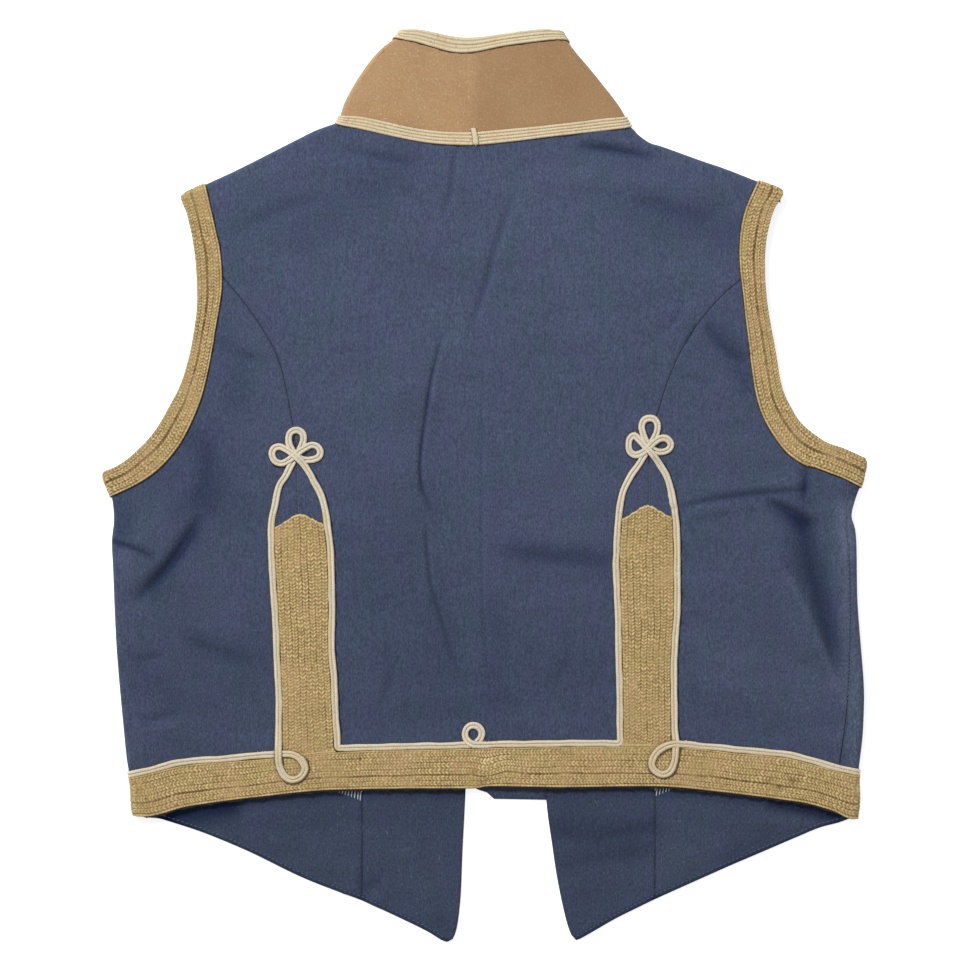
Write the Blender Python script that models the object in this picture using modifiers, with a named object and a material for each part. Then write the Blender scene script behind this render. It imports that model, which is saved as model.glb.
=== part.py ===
"""A denim vest with gold braid and cream soutache, laid flat with its back up.

The back lies over the two fronts. The cloth turns under at both sides, at the shoulders and at the
ends of the collar. Sizes and places are in millimetres: x to the right as seen from above, y towards
the collar, z up from the surface that the fronts rest on. Left and right are the wearer's, which
in this view are also the left and right seen from above.
"""

import bmesh
import bpy
import numpy as np

MM = 0.001

# Cloth and folds
CLOTH = 1.5
GAP = 0.3
FOLD_RADIUS = 2.25
FOLD_OUTSIDE = FOLD_RADIUS + CLOTH / 2
LOW = CLOTH / 2
FOLD_TOP = LOW + 2 * FOLD_RADIUS
LAID = 3.3
LOFT_WIDTH = 50.0
CALM_WIDTH = 10.0
ROLL_STEPS = 6
SEAM_ROOM = GAP / 2
SIDE_TURN = 5.0
SHOULDER_TURN = 4.0

# Trims
CORD_WIDTH = 3.6
BRAID = 1.4
BRAID_GAP = 0.4
TRIM_TURN = np.radians(118)
BRAID_CLOTH_INSET = 0.9
PANEL_MARGIN = CORD_WIDTH / 2 + GAP

# Where the cloth's outside turns under: x at each height y
SIDE_FOLD_LEFT = (
    (-228.6, 17), (-227.1, 9), (-225.3, 2), (-223.3, -6), (-221.8, -20), (-222.8, -33),
    (-222.2, -50), (-219.3, -97), (-215.6, -148), (-212.2, -165), (-211.0, -180), (-209.4, -194),
    (-207.5, -204),
)
SIDE_FOLD_RIGHT = (
    (227.6, 22), (226.7, 15), (224.8, 4), (221.8, -8), (220.6, -18), (222.8, -27), (224.0, -70),
    (227.4, -121), (227.3, -136), (226.0, -151), (223.7, -163), (222.9, -175), (223.2, -190),
    (221.0, -203),
)
SHOULDER_FOLD_LEFT = (
    (-186, 171.8), (-174.9, 176.8), (-155.7, 185.2), (-145.8, 189.6), (-110.7, 208.3), (-100.5, 213.0),
    (-89.1, 217.4), (-80, 220.5),
)
SHOULDER_FOLD_RIGHT = (
    (80, 217.5), (90.9, 211.8), (98.7, 206.0), (105.3, 203.4), (129.3, 193.8), (143.7, 189.2),
    (163.5, 182.0), (175.5, 177.5), (186, 173.6),
)
COLLAR_FOLD_LEFT = (
    (-93.0, 211), (-87.0, 219.6), (-81.9, 229), (-75.3, 240.6), (-67.5, 253.8), (-55.5, 268.4),
    (-51.0, 274),
)
COLLAR_FOLD_RIGHT = (
    (90.5, 209), (84.9, 219.0), (79.5, 227.4), (70.5, 239.4), (54.9, 259.2), (49.5, 268.4), (46.5, 274),
)
SHOULDER_LEAN_LEFT = np.cos(np.radians(25))
SHOULDER_LEAN_RIGHT = np.cos(np.radians(22))
COLLAR_LEAN_LEFT = np.cos(np.radians(33))
COLLAR_LEAN_RIGHT = np.cos(np.radians(35))

# Folds pressed or rumpled into the back: path, height (a trough is negative), width of one side
BACK_FOLDS = (
    (((-18.3, 198), (-19, 188), (-22, 168)), -0.6, 7),
    (((15, 170), (8, 150), (2.7, 130), (-1, 108)), -0.7, 8),
    (((-20, 92), (-30.3, 66), (-33.9, 40), (-37.1, 6), (-33, -14)), -0.75, 6),
    (((-47, 70), (-51, 20), (-46, -30)), 1.1, 13),
    (((-33, -26), (-27, -60), (-22, -92), (-12, -118)), -0.6, 8),
    (((1, 20), (1, -60), (3, -120)), 0.7, 9),
    (((30, -34), (52, -41), (68, -47)), -0.7, 9),
    (((36, 4), (60, -6), (84, -10)), 0.9, 14),
    (((-70, 176), (-100, 168), (-132, 176)), 0.9, 16),
    (((52, 203), (78, 199), (98, 196)), -0.7, 7),
    (((118, 160), (96, 176), (70, 184)), 1.2, 13),
    (((-168, -20), (-180, -38), (-195, -55), (-209, -67)), -0.75, 6),
    (((-190, -18), (-203, -34), (-214, -44)), 1.5, 9),
    (((-172, -62), (-160, -80), (-150, -110)), 0.8, 15),
    (((-216, -31), (-208, -37), (-200, -40)), -0.7, 5),
    (((152, -7), (172, -5), (190, -2)), -0.7, 7),
    (((150, 14), (172, 15), (194, 8)), 1.4, 12),
    (((184, -16), (196, -34), (203, -62), (206, -96)), -0.75, 8),
    (((178, -44), (188, -72), (202, -106)), 1.6, 8),
    (((160, -90), (166, -120), (160, -146)), 0.8, 15),
    (((-168, -128), (-180, -140), (-196, -146)), 0.7, 13),
)

# Panel edges seen from above, from the hem up, or from left to right
BACK_SEAM_LEFT = (
    (-104.4, -182.1), (-105.9, -158.4), (-111.3, -15.0), (-112.8, 20), (-117.3, 50.7),
    (-124.5, 78.6), (-139.5, 103.8), (-156.5, 124.8), (-172.3, 143.4),
)
BACK_SEAM_RIGHT = (
    (96.6, -179.2), (97.2, -154.8), (98.7, -9.6), (99.2, 23.4), (104.7, 46.8), (112.5, 69.6), (126.3, 94.8),
    (143.7, 115.2), (167.2, 134),
)
SIDE_SEAM_RIGHT = (
    (211.2, -194.2), (213.0, -164.4), (216.3, -140.4), (218.3, -106.8), (218.6, -49.2), (216.4, -20),
    (217.6, 0), (219.4, 19.2),
)
FRONT_SEAM_LEFT = (
    (-73.5, -247.4), (-73.5, -183.6), (-77, -100), (-86, -20), (-102, 40), (-128, 92), (-164.2, 128),
)
FRONT_SEAM_RIGHT = (
    (102.3, -248.4), (102.3, -184.8), (103, -100), (107, -20), (117, 40), (135, 86), (160.4, 122),
)
ARMHOLE_LEFT = (
    (-229.5, 7.8), (-217.5, 13.2), (-207.9, 21.6), (-197.7, 33.0), (-188.7, 46.8), (-182.4, 59.4),
    (-177.3, 76.2), (-173.7, 91.2), (-171.7, 108), (-172.3, 133.8), (-174.9, 149.4), (-177.9, 163.5),
    (-182.2, 178.0),
)
ARMHOLE_LEFT_INNER = (
    (-225.5, -7.2), (-207.9, 1.2), (-195.0, 10.2), (-183.9, 22.8), (-176.1, 36.6), (-169.8, 52.2),
    (-165.3, 69.6), (-162.3, 85.8), (-159.3, 103.8), (-157.1, 120), (-158.4, 141.6), (-161.1, 154.2),
    (-168.0, 185.0),
)
ARMHOLE_RIGHT = (
    (230.0, 15.2), (214.5, 22.2), (204.3, 25.8), (197.1, 30.6), (189.3, 37.8), (182.7, 48.0), (178.5, 58.2),
    (174.3, 81.0), (169.5, 108.6), (167.9, 130), (169.0, 149), (174.3, 166.0), (182.2, 179.5),
)
ARMHOLE_RIGHT_INNER = (
    (226.0, -1.0), (212.1, 5.6), (200.7, 9.6), (190.5, 13.0), (181.5, 19.2), (174.3, 28.2), (166.5, 42.0),
    (162.3, 55.8), (158.1, 85.8), (155.1, 112), (152.6, 139.2), (155.1, 162), (165.0, 186.0),
)
NECK_SEAM = (
    (-84.0, 215.6), (-75.3, 217.0), (-59.7, 214.2), (-41.7, 210.6), (-20.7, 208.2), (-7.5, 208.2),
    (9.3, 209.7), (31.5, 212.4), (51.3, 214.2), (70.5, 215.4), (82.0, 213.6),
)
COLLAR_BASE = (
    (-86.0, 218.6), (-75.3, 217.4), (-59.7, 214.6), (-41.7, 211.0), (-20.7, 208.6), (-7.5, 208.6),
    (9.3, 210.1), (31.5, 212.8), (51.3, 214.6), (70.5, 216.2), (86.0, 217.2),
)
COLLAR_TOP = (
    (-64.0, 261.0), (-56.5, 266.0), (-51.5, 269.6), (-46.5, 272.6), (-41.7, 273.4), (-33.9, 272.4),
    (-20.7, 269.6), (-10.5, 268.6), (-0.9, 269.2), (11.7, 271.0), (31.5, 273.4), (41.7, 273.2),
    (46.5, 270.8), (52.0, 265.0), (59.0, 258.5),
)
COLLAR_TOP_INNER = (
    (-68.0, 256.0), (-59.5, 261.0), (-53.0, 264.6), (-46.5, 266.2), (-41.7, 266.2), (-30.9, 262.8),
    (-20.7, 260.1), (-14.1, 259.4), (-5.1, 260.1), (11.7, 263.4), (31.5, 266.0), (41.0, 266.4),
    (46.5, 264.6), (55.0, 258.5), (62.0, 252.5),
)
BASE_TRIM_TOP = (
    (-92.0, 221.2), (-77.7, 221.4), (-66.3, 219.6), (-49.5, 216.0), (-33.9, 213.2), (-18.3, 212.0),
    (-7.5, 212.0), (5.4, 213.0), (31.5, 215.4), (57.3, 218.2), (74.1, 220.2), (90.0, 221.0),
)
BASE_TRIM_BOTTOM = (
    (-95.0, 217.6), (-72.9, 213.2), (-53.1, 208.8), (-33.9, 205.4), (-14.1, 204.1), (-2.4, 204.4),
    (18.3, 206.4), (44.4, 209.6), (70.5, 212.4), (93.0, 215.2),
)
HEM_EDGE = (
    (-216, -196.8), (-209, -197.4), (-201.9, -197.8), (-193.5, -196.2), (-182.1, -192.8), (-168.9, -190.4),
    (-134.1, -186.0), (-98.7, -182.4), (-50.7, -181.2), (-11.7, -180.6), (1.5, -179.6), (45.3, -180.4),
    (107.1, -180.0), (140.1, -183.0), (178.5, -187.8), (194.1, -190.2), (209.1, -194.4), (218.5, -198.0),
    (228, -199.6),
)
HEM_TOP = (
    (-218, -171.8), (-204.3, -169.2), (-195.3, -166.8), (-181.5, -163.6), (-151.5, -161.1),
    (-125.1, -159.0), (-85.5, -155.4), (-38.7, -154.0), (45.3, -152.4), (117.3, -152.4), (147.9, -154.8),
    (181.5, -159.0), (194.1, -162.0), (209.1, -166.2), (228, -170.8),
)
FRONT_EDGE_LEFT = (
    (-204.6, -198.8), (-195.3, -199.2), (-188.7, -200.7), (-168.9, -207.3), (-142.5, -219.0),
    (-107.7, -235.2), (-73.5, -247.4),
)
FRONT_POINT_LEFT = ((-73.5, -247.4), (-57.3, -254.7), (-33.9, -267.0), (-25.5, -272.4), (-22.5, -273.5))
CENTRE_EDGE_LEFT = (
    (-22.5, -273.5), (-19.5, -272.3), (-17.1, -267.0), (-14.6, -250), (-13.1, -217.8), (-11.4, -184),
    (-7, -60), (-3, 60), (-1, 132),
)
FRONT_EDGE_RIGHT = (
    (102.3, -248.4), (131.1, -234.6), (147.3, -227.7), (170.7, -219.0), (186.3, -212.4), (201.3, -205.4),
    (212.7, -201.4), (219.0, -200.2),
)
FRONT_POINT_RIGHT = ((54.9, -272.4), (57.3, -271.4), (78.6, -259.2), (92.7, -252.8), (102.3, -248.4))
CENTRE_EDGE_RIGHT = (
    (54.9, -272.4), (52.5, -270.0), (50.4, -264.0), (45.3, -238.2), (41.1, -213.6), (37.0, -188.0),
    (35, -100), (32, 0), (29, 80), (27, 136),
)
UNDERLAP_EDGE = ((5.5, -187.4), (3.4, -183), (4.0, -100), (4.5, 0), (5, 124))
FRONT_ARMHOLE_LEFT = (
    (-217.0, 3.0), (-203, 13), (-190, 28), (-178, 50), (-169, 76), (-164.8, 102), (-164.2, 128),
)
FRONT_ARMHOLE_LEFT_UPPER = ((-164.2, 128), (-166, 145), (-171, 170.2))
FRONT_ARMHOLE_RIGHT = (
    (160.4, 122), (161.2, 100), (165, 76), (171, 54), (180, 36), (194, 21.5), (210, 15.5), (223.7, 15),
)
FRONT_ARMHOLE_RIGHT_UPPER = ((160.4, 122), (160.8, 145), (168, 171.6))
NECK_UNDER_LEFT = ((-84.3, 213), (-78, 204), (-66, 186), (-44, 160), (-18, 140), (-1, 132))
NECK_UNDER_RIGHT = ((27, 136), (36, 146), (48, 161), (64, 183), (76, 201), (82, 211))
COLLAR_UNDER_TOP_LEFT = ((-51.6, 268), (-40, 246), (-22, 212), (-3, 184))
COLLAR_UNDER_TOP_RIGHT = ((8, 184), (26, 212), (39, 246), (46.8, 267))
UNDERLAP_TOP = 124.0
UNDERLAP_RISE = 0.7
FRONT_TOP_LEFT = 3.0
FRONT_FOOT_LEFT = -198.8
FRONT_TOP_RIGHT = 15.0
FRONT_FOOT_RIGHT = -198.6
BACK_FOOT_LEFT = -196.5
SHOULDER_END_LEFT = (-177.4, -91.5)
SHOULDER_END_RIGHT = (90.5, 176.0)
COLLAR_CORNER_LEFT = 268.0
COLLAR_CORNER_RIGHT = 267.0

# Trefoil knot of soutache, from its centre, in the order that the cord runs: x, y, lift
KNOT = (
    (-6.0, -10.5, 0.0), (-2.8, -4.6, 0.0), (0.2, -0.6, 0.0), (3.0, 3.8, 0.0), (4.4, 8.6, 0.0),
    (3.5, 12.8, 0.0), (0.3, 15.0, 0.0), (-2.9, 13.2, 0.0), (-3.8, 9.0, 0.1), (-2.2, 3.6, 0.4),
    (1.0, -0.6, 0.5), (5.4, -2.8, 0.3), (10.7, -2.7, 0.0), (14.6, -0.6, 0.0), (15.2, 2.6, 0.0),
    (11.6, 5.9, 0.1), (6.6, 4.6, 0.5), (1.2, 1.4, 1.0), (-3.6, -2.2, 0.7), (-8.8, -4.6, 0.1),
    (-12.6, -3.4, 0.0), (-13.9, 0.4, 0.0), (-12.4, 3.8, 0.0), (-9.4, 4.8, 0.1), (-5.2, 3.2, 0.8),
    (-0.8, 0.4, 1.3), (3.0, -2.9, 1.0), (6.4, -7.6, 0.2),
)
KNOT_LEFT = (-113.3, 18.6)
KNOT_RIGHT = (98.7, 23.4)
OVER_BRAID = BRAID + BRAID_GAP

# Runs of the one soutache cord, in order: x, y, lift
CORD_LOOP_LEFT = (
    (-139.0, -161.6, 0.0), (-130.0, -161.0, 0.9), (-121.5, -160.4, 2.2), (-114.5, -160.8, 2.0),
    (-109.4, -164.6, OVER_BRAID), (-107.4, -170.2, OVER_BRAID), (-110.4, -175.4, OVER_BRAID),
    (-115.1, -176.8, OVER_BRAID), (-119.6, -174.6, OVER_BRAID), (-122.4, -169.0, OVER_BRAID),
    (-123.3, -162.0, 1.6), (-123.3, -155.0, 0.6), (-123.2, -146.0, 0.0),
)
PANEL_ARM_LEFT_UP = (
    (-123.1, -130.8, 0.0), (-123.9, -110.4, 0.0), (-125.1, -82.8, 0.0), (-126.3, -61.8, 0.0),
    (-127.6, -40.2, 0.0), (-127.5, -22.0, 0.0), (-125.5, -11.5, 0.0), (-122.9, 0.4, 0.0),
)
PANEL_ARM_LEFT_DOWN = (
    (-102.6, 3.0, 0.0), (-98.3, -4.4, 0.0), (-95.7, -12.8, 0.0), (-93.7, -26.0, 0.0), (-92.1, -42.0, 0.0),
    (-91.4, -70.0, 0.0), (-91.6, -96.6, 0.0), (-90.3, -114.0, 0.0), (-89.4, -134.0, 0.0),
    (-88.4, -148.0, 0.0),
)
CORD_CORNER_LEFT = ((-87.9, -153.0, 0.0), (-86.9, -156.0, 0.0), (-84.0, -157.2, 0.0))
CORD_RING = (
    (-19.0, -155.3, 0.0), (-13.0, -155.1, 0.0), (-7.5, -154.7, 0.0), (-2.8, -151.8, 0.0),
    (-1.5, -147.4, 0.0), (-4.0, -143.9, 0.0), (-8.2, -143.5, 0.0), (-11.2, -146.6, 0.0),
    (-11.0, -151.2, 0.2), (-7.0, -154.6, 1.0), (-1.0, -154.9, 0.4), (6.0, -154.8, 0.0),
)
CORD_CORNER_RIGHT = ((77.4, -154.0, 0.0), (80.1, -152.6, 0.0), (81.0, -149.6, 0.0))
PANEL_ARM_RIGHT_UP = (
    (81.2, -142.0, 0.0), (81.1, -130.0, 0.0), (80.6, -108.0, 0.0), (80.1, -82.0, 0.0),
    (78.9, -42.0, 0.0), (79.5, -28.2, 0.0), (80.7, -15.6, 0.0), (83.2, -2.6, 0.0), (88.0, 6.8, 0.0),
)
PANEL_ARM_RIGHT_DOWN = (
    (108.9, 6.0, 0.0), (111.9, -3.6, 0.0), (113.7, -12.6, 0.0), (114.9, -25.2, 0.0), (115.4, -44.0, 0.0),
    (115.3, -74.4, 0.0), (114.0, -96.0, 0.0), (113.3, -112.0, 0.0), (113.7, -130.0, 0.0),
)
CORD_LOOP_RIGHT = (
    (113.9, -144.0, 0.0), (114.3, -151.0, 0.8), (114.3, -156.5, 1.7), (113.6, -165.4, OVER_BRAID),
    (111.2, -170.6, OVER_BRAID), (106.9, -172.6, OVER_BRAID), (102.3, -170.8, OVER_BRAID),
    (100.0, -166.6, OVER_BRAID), (101.7, -161.4, OVER_BRAID), (105.9, -157.2, 2.0), (112.0, -154.6, 2.2),
    (121.0, -154.2, 0.9), (130.0, -155.0, 0.0),
)

# Sections across the trims: share of the width, height above the cloth
CORD_SECTION = ((-0.40, 0.0), (-0.5, 0.55), (-0.3, 1.3), (0.3, 1.3), (0.5, 0.55), (0.40, 0.0))
ARMHOLE_SECTION = (
    (0.0, 0.8), (0.09, BRAID), (0.33, BRAID), (0.42, 0.6), (0.52, BRAID), (0.80, BRAID), (0.89, 0.7),
    (0.95, 1.2), (1.0, 0.8),
)
HEM_SECTION = (
    (0.0, 0.9), (0.07, BRAID), (0.34, 1.2), (0.57, BRAID), (0.67, 0.6), (0.75, BRAID), (0.89, BRAID),
    (0.93, 0.8), (1.0, 1.0),
)
SOUTACHE_PAIR_SECTION = (
    (0.0, 0.5), (0.12, 1.3), (0.25, 0.8), (0.38, 1.3), (0.5, 0.5), (0.62, 1.3), (0.75, 0.8), (0.88, 1.3),
    (1.0, 0.5),
)
PANEL_RIBS = 8
PANEL_RIB = 0.5
PANEL_SELVAGE = 0.05

# Steps of the grids
SHOULDER_STEPS = 6
NECK_STEPS = 11
SEAM_ROWS = 18
ARM_ROWS = 4
BACK_SIDE_COLUMNS = 9
FRONT_ROWS = 24
FRONT_ARM_ROWS = 2
FRONT_COLUMNS = 5
FRONT_POINT_STEPS = 7
FRONT_CENTRE_STEPS = 12
UNDERLAP_STEPS = 6
COLLAR_ROWS = 5
COLLAR_COLUMNS = 14
NECK_UNDER_STEPS = 5
PANEL_ROWS = 12
PANEL_UNDER_STEPS = 4
LINE_STEPS = 900
STRIP_STEPS = 60
ROUTE_STEPS = 6000
HEM_POINT_SPACING = 9.0
CORD_SPACING = 17.0
FOLD_SPACING = 1.3
MERGE = 0.02
CORD_TURN = np.radians(30)
CORD_CLIMB = 0.9
RING_CROSSING = (-7.6, -154.0)
CORE_RADIUS = 1.6
CORE_HEIGHT = 1.9

# Colours: red, green, blue as light values, roughness
DENIM = (0.060, 0.078, 0.145, 0.9)
DENIM_INSIDE = (0.075, 0.094, 0.165, 0.9)
CAMEL = (0.42, 0.27, 0.15, 0.85)
CREAM = (0.76, 0.63, 0.42, 0.7)
GOLD = (0.46, 0.33, 0.16, 0.65)


def smooth(points, fractions):
    """Points at the given shares of the length of a smooth curve through the given points."""
    points = np.asarray(points, float)
    ends = (2 * points[0] - points[1], 2 * points[-1] - points[-2])
    padded = np.vstack([ends[0], points, ends[1]])
    knots = np.concatenate([[0], np.cumsum(np.linalg.norm(np.diff(padded[:, :2], axis=0), axis=1) ** 0.5)])
    dense = [points[:1]]
    for i in range(1, len(padded) - 2):
        t0, t1, t2, t3 = knots[i - 1 : i + 3]
        t = np.linspace(t1, t2, 17)[1:, None]
        a1 = padded[i - 1] + (padded[i] - padded[i - 1]) * (t - t0) / (t1 - t0)
        a2 = padded[i] + (padded[i + 1] - padded[i]) * (t - t1) / (t2 - t1)
        a3 = padded[i + 1] + (padded[i + 2] - padded[i + 1]) * (t - t2) / (t3 - t2)
        b1 = a1 + (a2 - a1) * (t - t0) / (t2 - t0)
        b2 = a2 + (a3 - a2) * (t - t1) / (t3 - t1)
        dense.append(b1 + (b2 - b1) * (t - t1) / (t2 - t1))
    dense = np.vstack(dense)
    run = np.concatenate([[0], np.cumsum(np.linalg.norm(np.diff(dense[:, :2], axis=0), axis=1))])
    wanted = np.asarray(fractions) * run[-1]
    return np.stack([np.interp(wanted, run, dense[:, k]) for k in range(dense.shape[1])], axis=1)


def shares(count):
    """Evenly spread shares from 0 to 1, for the given number of steps."""
    return np.linspace(0, 1, count + 1)


def line_through(points, along):
    """A function that gives the other coordinate of a smooth line, where along is 0 for x or 1 for y."""
    line = smooth(points, shares(LINE_STEPS))
    line = line[np.argsort(line[:, along])]
    return lambda where: np.interp(where, line[:, along], line[:, 1 - along])


class Fold:
    """A line where the cloth turns under. Across is 0 where it turns along x, and 1 along y."""

    def __init__(self, points, across, side, lean):
        self.across = across
        self.side = side
        self.lean = lean
        self.line = line_through(points, 1 - across)
        places = [point[1 - across] for point in points]
        self.ends = (min(places), max(places))

    def tangent(self, along):
        """Where the roll starts, just inside the line."""
        return self.line(along) - self.side * FOLD_OUTSIDE / self.lean

    def past(self, plan):
        """How far the cloth has gone past the start of the roll."""
        place = plan[..., self.across]
        return self.side * (place - self.tangent(plan[..., 1 - self.across])) * self.lean

    def plan_at(self, along, past):
        """The place across the fold that lies this far past the start of the roll."""
        return self.tangent(along) + self.side * past / self.lean

    def roll(self, plan, flat):
        """Moves the points of flat that are past the start of the roll round the fold and under."""
        past = self.past(plan)
        angle = np.clip(past / FOLD_RADIUS, 0, np.pi)
        under = np.maximum(past - np.pi * FOLD_RADIUS, 0)
        along = plan[..., 1 - self.across]
        turned = (past > 0) & (along >= self.ends[0]) & (along <= self.ends[1])
        out = self.side * (FOLD_RADIUS * np.sin(angle) - under) / self.lean
        place = self.tangent(plan[..., 1 - self.across]) + out
        flat[..., self.across] = np.where(turned, place, flat[..., self.across])
        flat[..., 2] = np.where(turned, LOW + FOLD_RADIUS * (1 + np.cos(angle)), flat[..., 2])

    def clear(self, plan, width):
        """0 at the fold, rising to 1 at this distance inside it or past its ends."""
        inside = np.maximum(-self.past(plan), 0)
        along = plan[..., 1 - self.across]
        beyond = np.maximum(np.maximum(along - self.ends[1], self.ends[0] - along), 0)
        t = np.clip(np.hypot(inside, beyond) / width, 0, 1)
        return t * t * (3 - 2 * t)


LEFT = Fold(SIDE_FOLD_LEFT, 0, -1, 1.0)
RIGHT = Fold(SIDE_FOLD_RIGHT, 0, 1, 1.0)
SHOULDER_LEFT = Fold(SHOULDER_FOLD_LEFT, 1, 1, SHOULDER_LEAN_LEFT)
SHOULDER_RIGHT = Fold(SHOULDER_FOLD_RIGHT, 1, 1, SHOULDER_LEAN_RIGHT)
COLLAR_LEFT = Fold(COLLAR_FOLD_LEFT, 0, -1, COLLAR_LEAN_LEFT)
COLLAR_RIGHT = Fold(COLLAR_FOLD_RIGHT, 0, 1, COLLAR_LEAN_RIGHT)
ALL_FOLDS = (LEFT, RIGHT, SHOULDER_LEFT, SHOULDER_RIGHT, COLLAR_LEFT, COLLAR_RIGHT)


def distance_to(path, plan):
    """Distance from each point to a line of straight pieces."""
    best = np.full(plan.shape[:-1], np.inf)
    for start, end in zip(path[:-1], path[1:]):
        step = end - start
        t = np.clip(((plan - start) @ step) / (step @ step), 0, 1)
        best = np.minimum(best, np.linalg.norm(plan - start - t[..., None] * step, axis=-1))
    return best


FOLD_PATHS = [(smooth(path, shares(8)), height, width) for path, height, width in BACK_FOLDS]


def height_at(plan):
    """Middle of the back's wall above the surface, where it lies over the fronts."""
    rumple = np.zeros(plan.shape[:-1])
    for path, height, width in FOLD_PATHS:
        rumple += height * np.exp(-((distance_to(path, plan) / width) ** 2))
    level = np.ones(plan.shape[:-1])
    calm = np.ones(plan.shape[:-1])
    for fold in ALL_FOLDS:
        level *= fold.clear(plan, LOFT_WIDTH)
        calm *= fold.clear(plan, CALM_WIDTH)
    return FOLD_TOP + (LAID - FOLD_TOP) * level + rumple * calm


def laid(plan, folds):
    """The middle of the wall over points of the unfolded plan, turned under at the given folds."""
    flat = np.concatenate([plan, height_at(plan)[..., None]], axis=-1)
    for fold in folds:
        fold.roll(plan, flat)
    return flat


def on_body(plan):
    return laid(plan, (LEFT, RIGHT, SHOULDER_LEFT, SHOULDER_RIGHT))


def on_collar(plan):
    return laid(plan, (COLLAR_LEFT, COLLAR_RIGHT))


def on_floor(plan):
    """The middle of the wall of what rests on the surface."""
    return np.concatenate([plan, np.full(plan.shape[:-1] + (1,), LOW)], axis=-1)


def raised(surface, plan, height):
    """Points this far above the outside of the cloth, square to it."""
    step = 0.05
    ahead = surface(plan + (step, 0)) - surface(plan - (step, 0))
    aside = surface(plan + (0, step)) - surface(plan - (0, step))
    normal = np.cross(ahead, aside)
    normal /= np.linalg.norm(normal, axis=-1, keepdims=True)
    return surface(plan) + normal * (CLOTH / 2 + np.asarray(height)[..., None])


def patch(bottom, top, left, right):
    """A grid of plan points between four edges: rows go up, columns go right."""
    u = shares(len(bottom) - 1)[None, :, None]
    v = shares(len(left) - 1)[:, None, None]
    sides = (1 - u) * left[:, None] + u * right[:, None]
    ends = (1 - v) * bottom[None] + v * top[None]
    low = (1 - u) * bottom[0] + u * bottom[-1]
    high = (1 - u) * top[0] + u * top[-1]
    return sides + ends - (1 - v) * low - v * high


def inset(line, side, amount=SEAM_ROOM):
    """A line moved to its left (side 1) or right (side -1)."""
    run = np.gradient(line, axis=0)
    normal = np.stack([-run[:, 1], run[:, 0]], axis=1)
    normal /= np.linalg.norm(normal, axis=1, keepdims=True)
    return line + side * amount * normal


def straight(start, end, steps):
    return np.asarray(start) + shares(steps)[:, None] * (np.asarray(end) - np.asarray(start))


def joined(*lines):
    """One line out of several, each starting where the last ended."""
    return np.vstack([lines[0]] + [line[1:] for line in lines[1:]])


def outline(bottom, right, top, left):
    """One closed outline from four edges, which run upwards or to the right."""
    return np.vstack([bottom, right[1:], top[-2::-1], left[-2:0:-1]])


def roll_columns(fold, edge, pasts):
    """Plan points past a fold, beside the points of an edge that lies along it."""
    columns = []
    for past in pasts:
        column = edge.copy()
        column[:, fold.across] = fold.plan_at(edge[:, 1 - fold.across], past)
        columns.append(column)
    return np.stack(columns, axis=1)


def roll_pasts(extra):
    """Steps round a fold, and then this far under."""
    return np.append(shares(ROLL_STEPS) * np.pi * FOLD_RADIUS, np.pi * FOLD_RADIUS + extra)


def add_grid(mesh, points):
    """Adds a grid of points, in millimetres, as quads."""
    rows, columns = points.shape[:2]
    grid = [[mesh.verts.new(point * MM) for point in row] for row in points]
    for r in range(rows - 1):
        for c in range(columns - 1):
            mesh.faces.new((grid[r][c], grid[r][c + 1], grid[r + 1][c + 1], grid[r + 1][c]))


def material(name, colour):
    made = bpy.data.materials.get(name)
    if made is None:
        made = bpy.data.materials.new(name)
        made.use_nodes = True
        shader = made.node_tree.nodes["Principled BSDF"]
        shader.inputs["Base Color"].default_value = (*colour[:3], 1)
        shader.inputs["Roughness"].default_value = colour[3]
        shader.inputs["Metallic"].default_value = 0.0
    return made


def add_object(name, mesh, colour):
    """Makes the object of a bmesh, with a material of its own."""
    data = bpy.data.meshes.new(name)
    mesh.to_mesh(data)
    mesh.free()
    data.shade_smooth()
    data.set_sharp_from_angle(angle=np.radians(40))
    obj = bpy.data.objects.new(name, data)
    data.materials.append(material(name + "_finish", colour))
    bpy.data.collections["denim_vest"].objects.link(obj)
    return obj


def add_cloth(name, grids, outlines, colour):
    """A wall of cloth through grids of points and flat outlines that meet along shared edges."""
    mesh = bmesh.new()
    for points in grids:
        add_grid(mesh, points)
    flats = [mesh.faces.new([mesh.verts.new(point * MM) for point in on_floor(line)]) for line in outlines]
    bmesh.ops.triangulate(mesh, faces=flats, ngon_method="BEAUTY")
    bmesh.ops.remove_doubles(mesh, verts=mesh.verts, dist=MERGE * MM)
    bmesh.ops.recalc_face_normals(mesh, faces=mesh.faces)
    obj = add_object(name, mesh, colour)
    wall = obj.modifiers.new("wall", "SOLIDIFY")
    wall.thickness = CLOTH * MM
    wall.offset = 0
    wall.use_even_offset = True
    return obj


def add_sweep(name, rings, colour):
    """A closed solid through rings of points, with flat ends."""
    mesh = bmesh.new()
    loops = [[mesh.verts.new(point * MM) for point in ring] for ring in rings]
    count = len(loops[0])
    for first, second in zip(loops[:-1], loops[1:]):
        for k in range(count):
            after = (k + 1) % count
            mesh.faces.new((first[k], first[after], second[after], second[k]))
    mesh.faces.new(loops[0][::-1])
    mesh.faces.new(loops[-1])
    bmesh.ops.recalc_face_normals(mesh, faces=mesh.faces)
    return add_object(name, mesh, colour)


def near_fold(folds, plan):
    """True for the points that are on one of these folds or right beside it."""
    return np.any([fold.past(plan) > -FOLD_SPACING for fold in folds], axis=0)


def on_top(folds, plan):
    """True for the points on top, or no further round these folds than a trim goes."""
    return np.all([fold.past(plan) <= TRIM_TURN * FOLD_RADIUS for fold in folds], axis=0)


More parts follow.
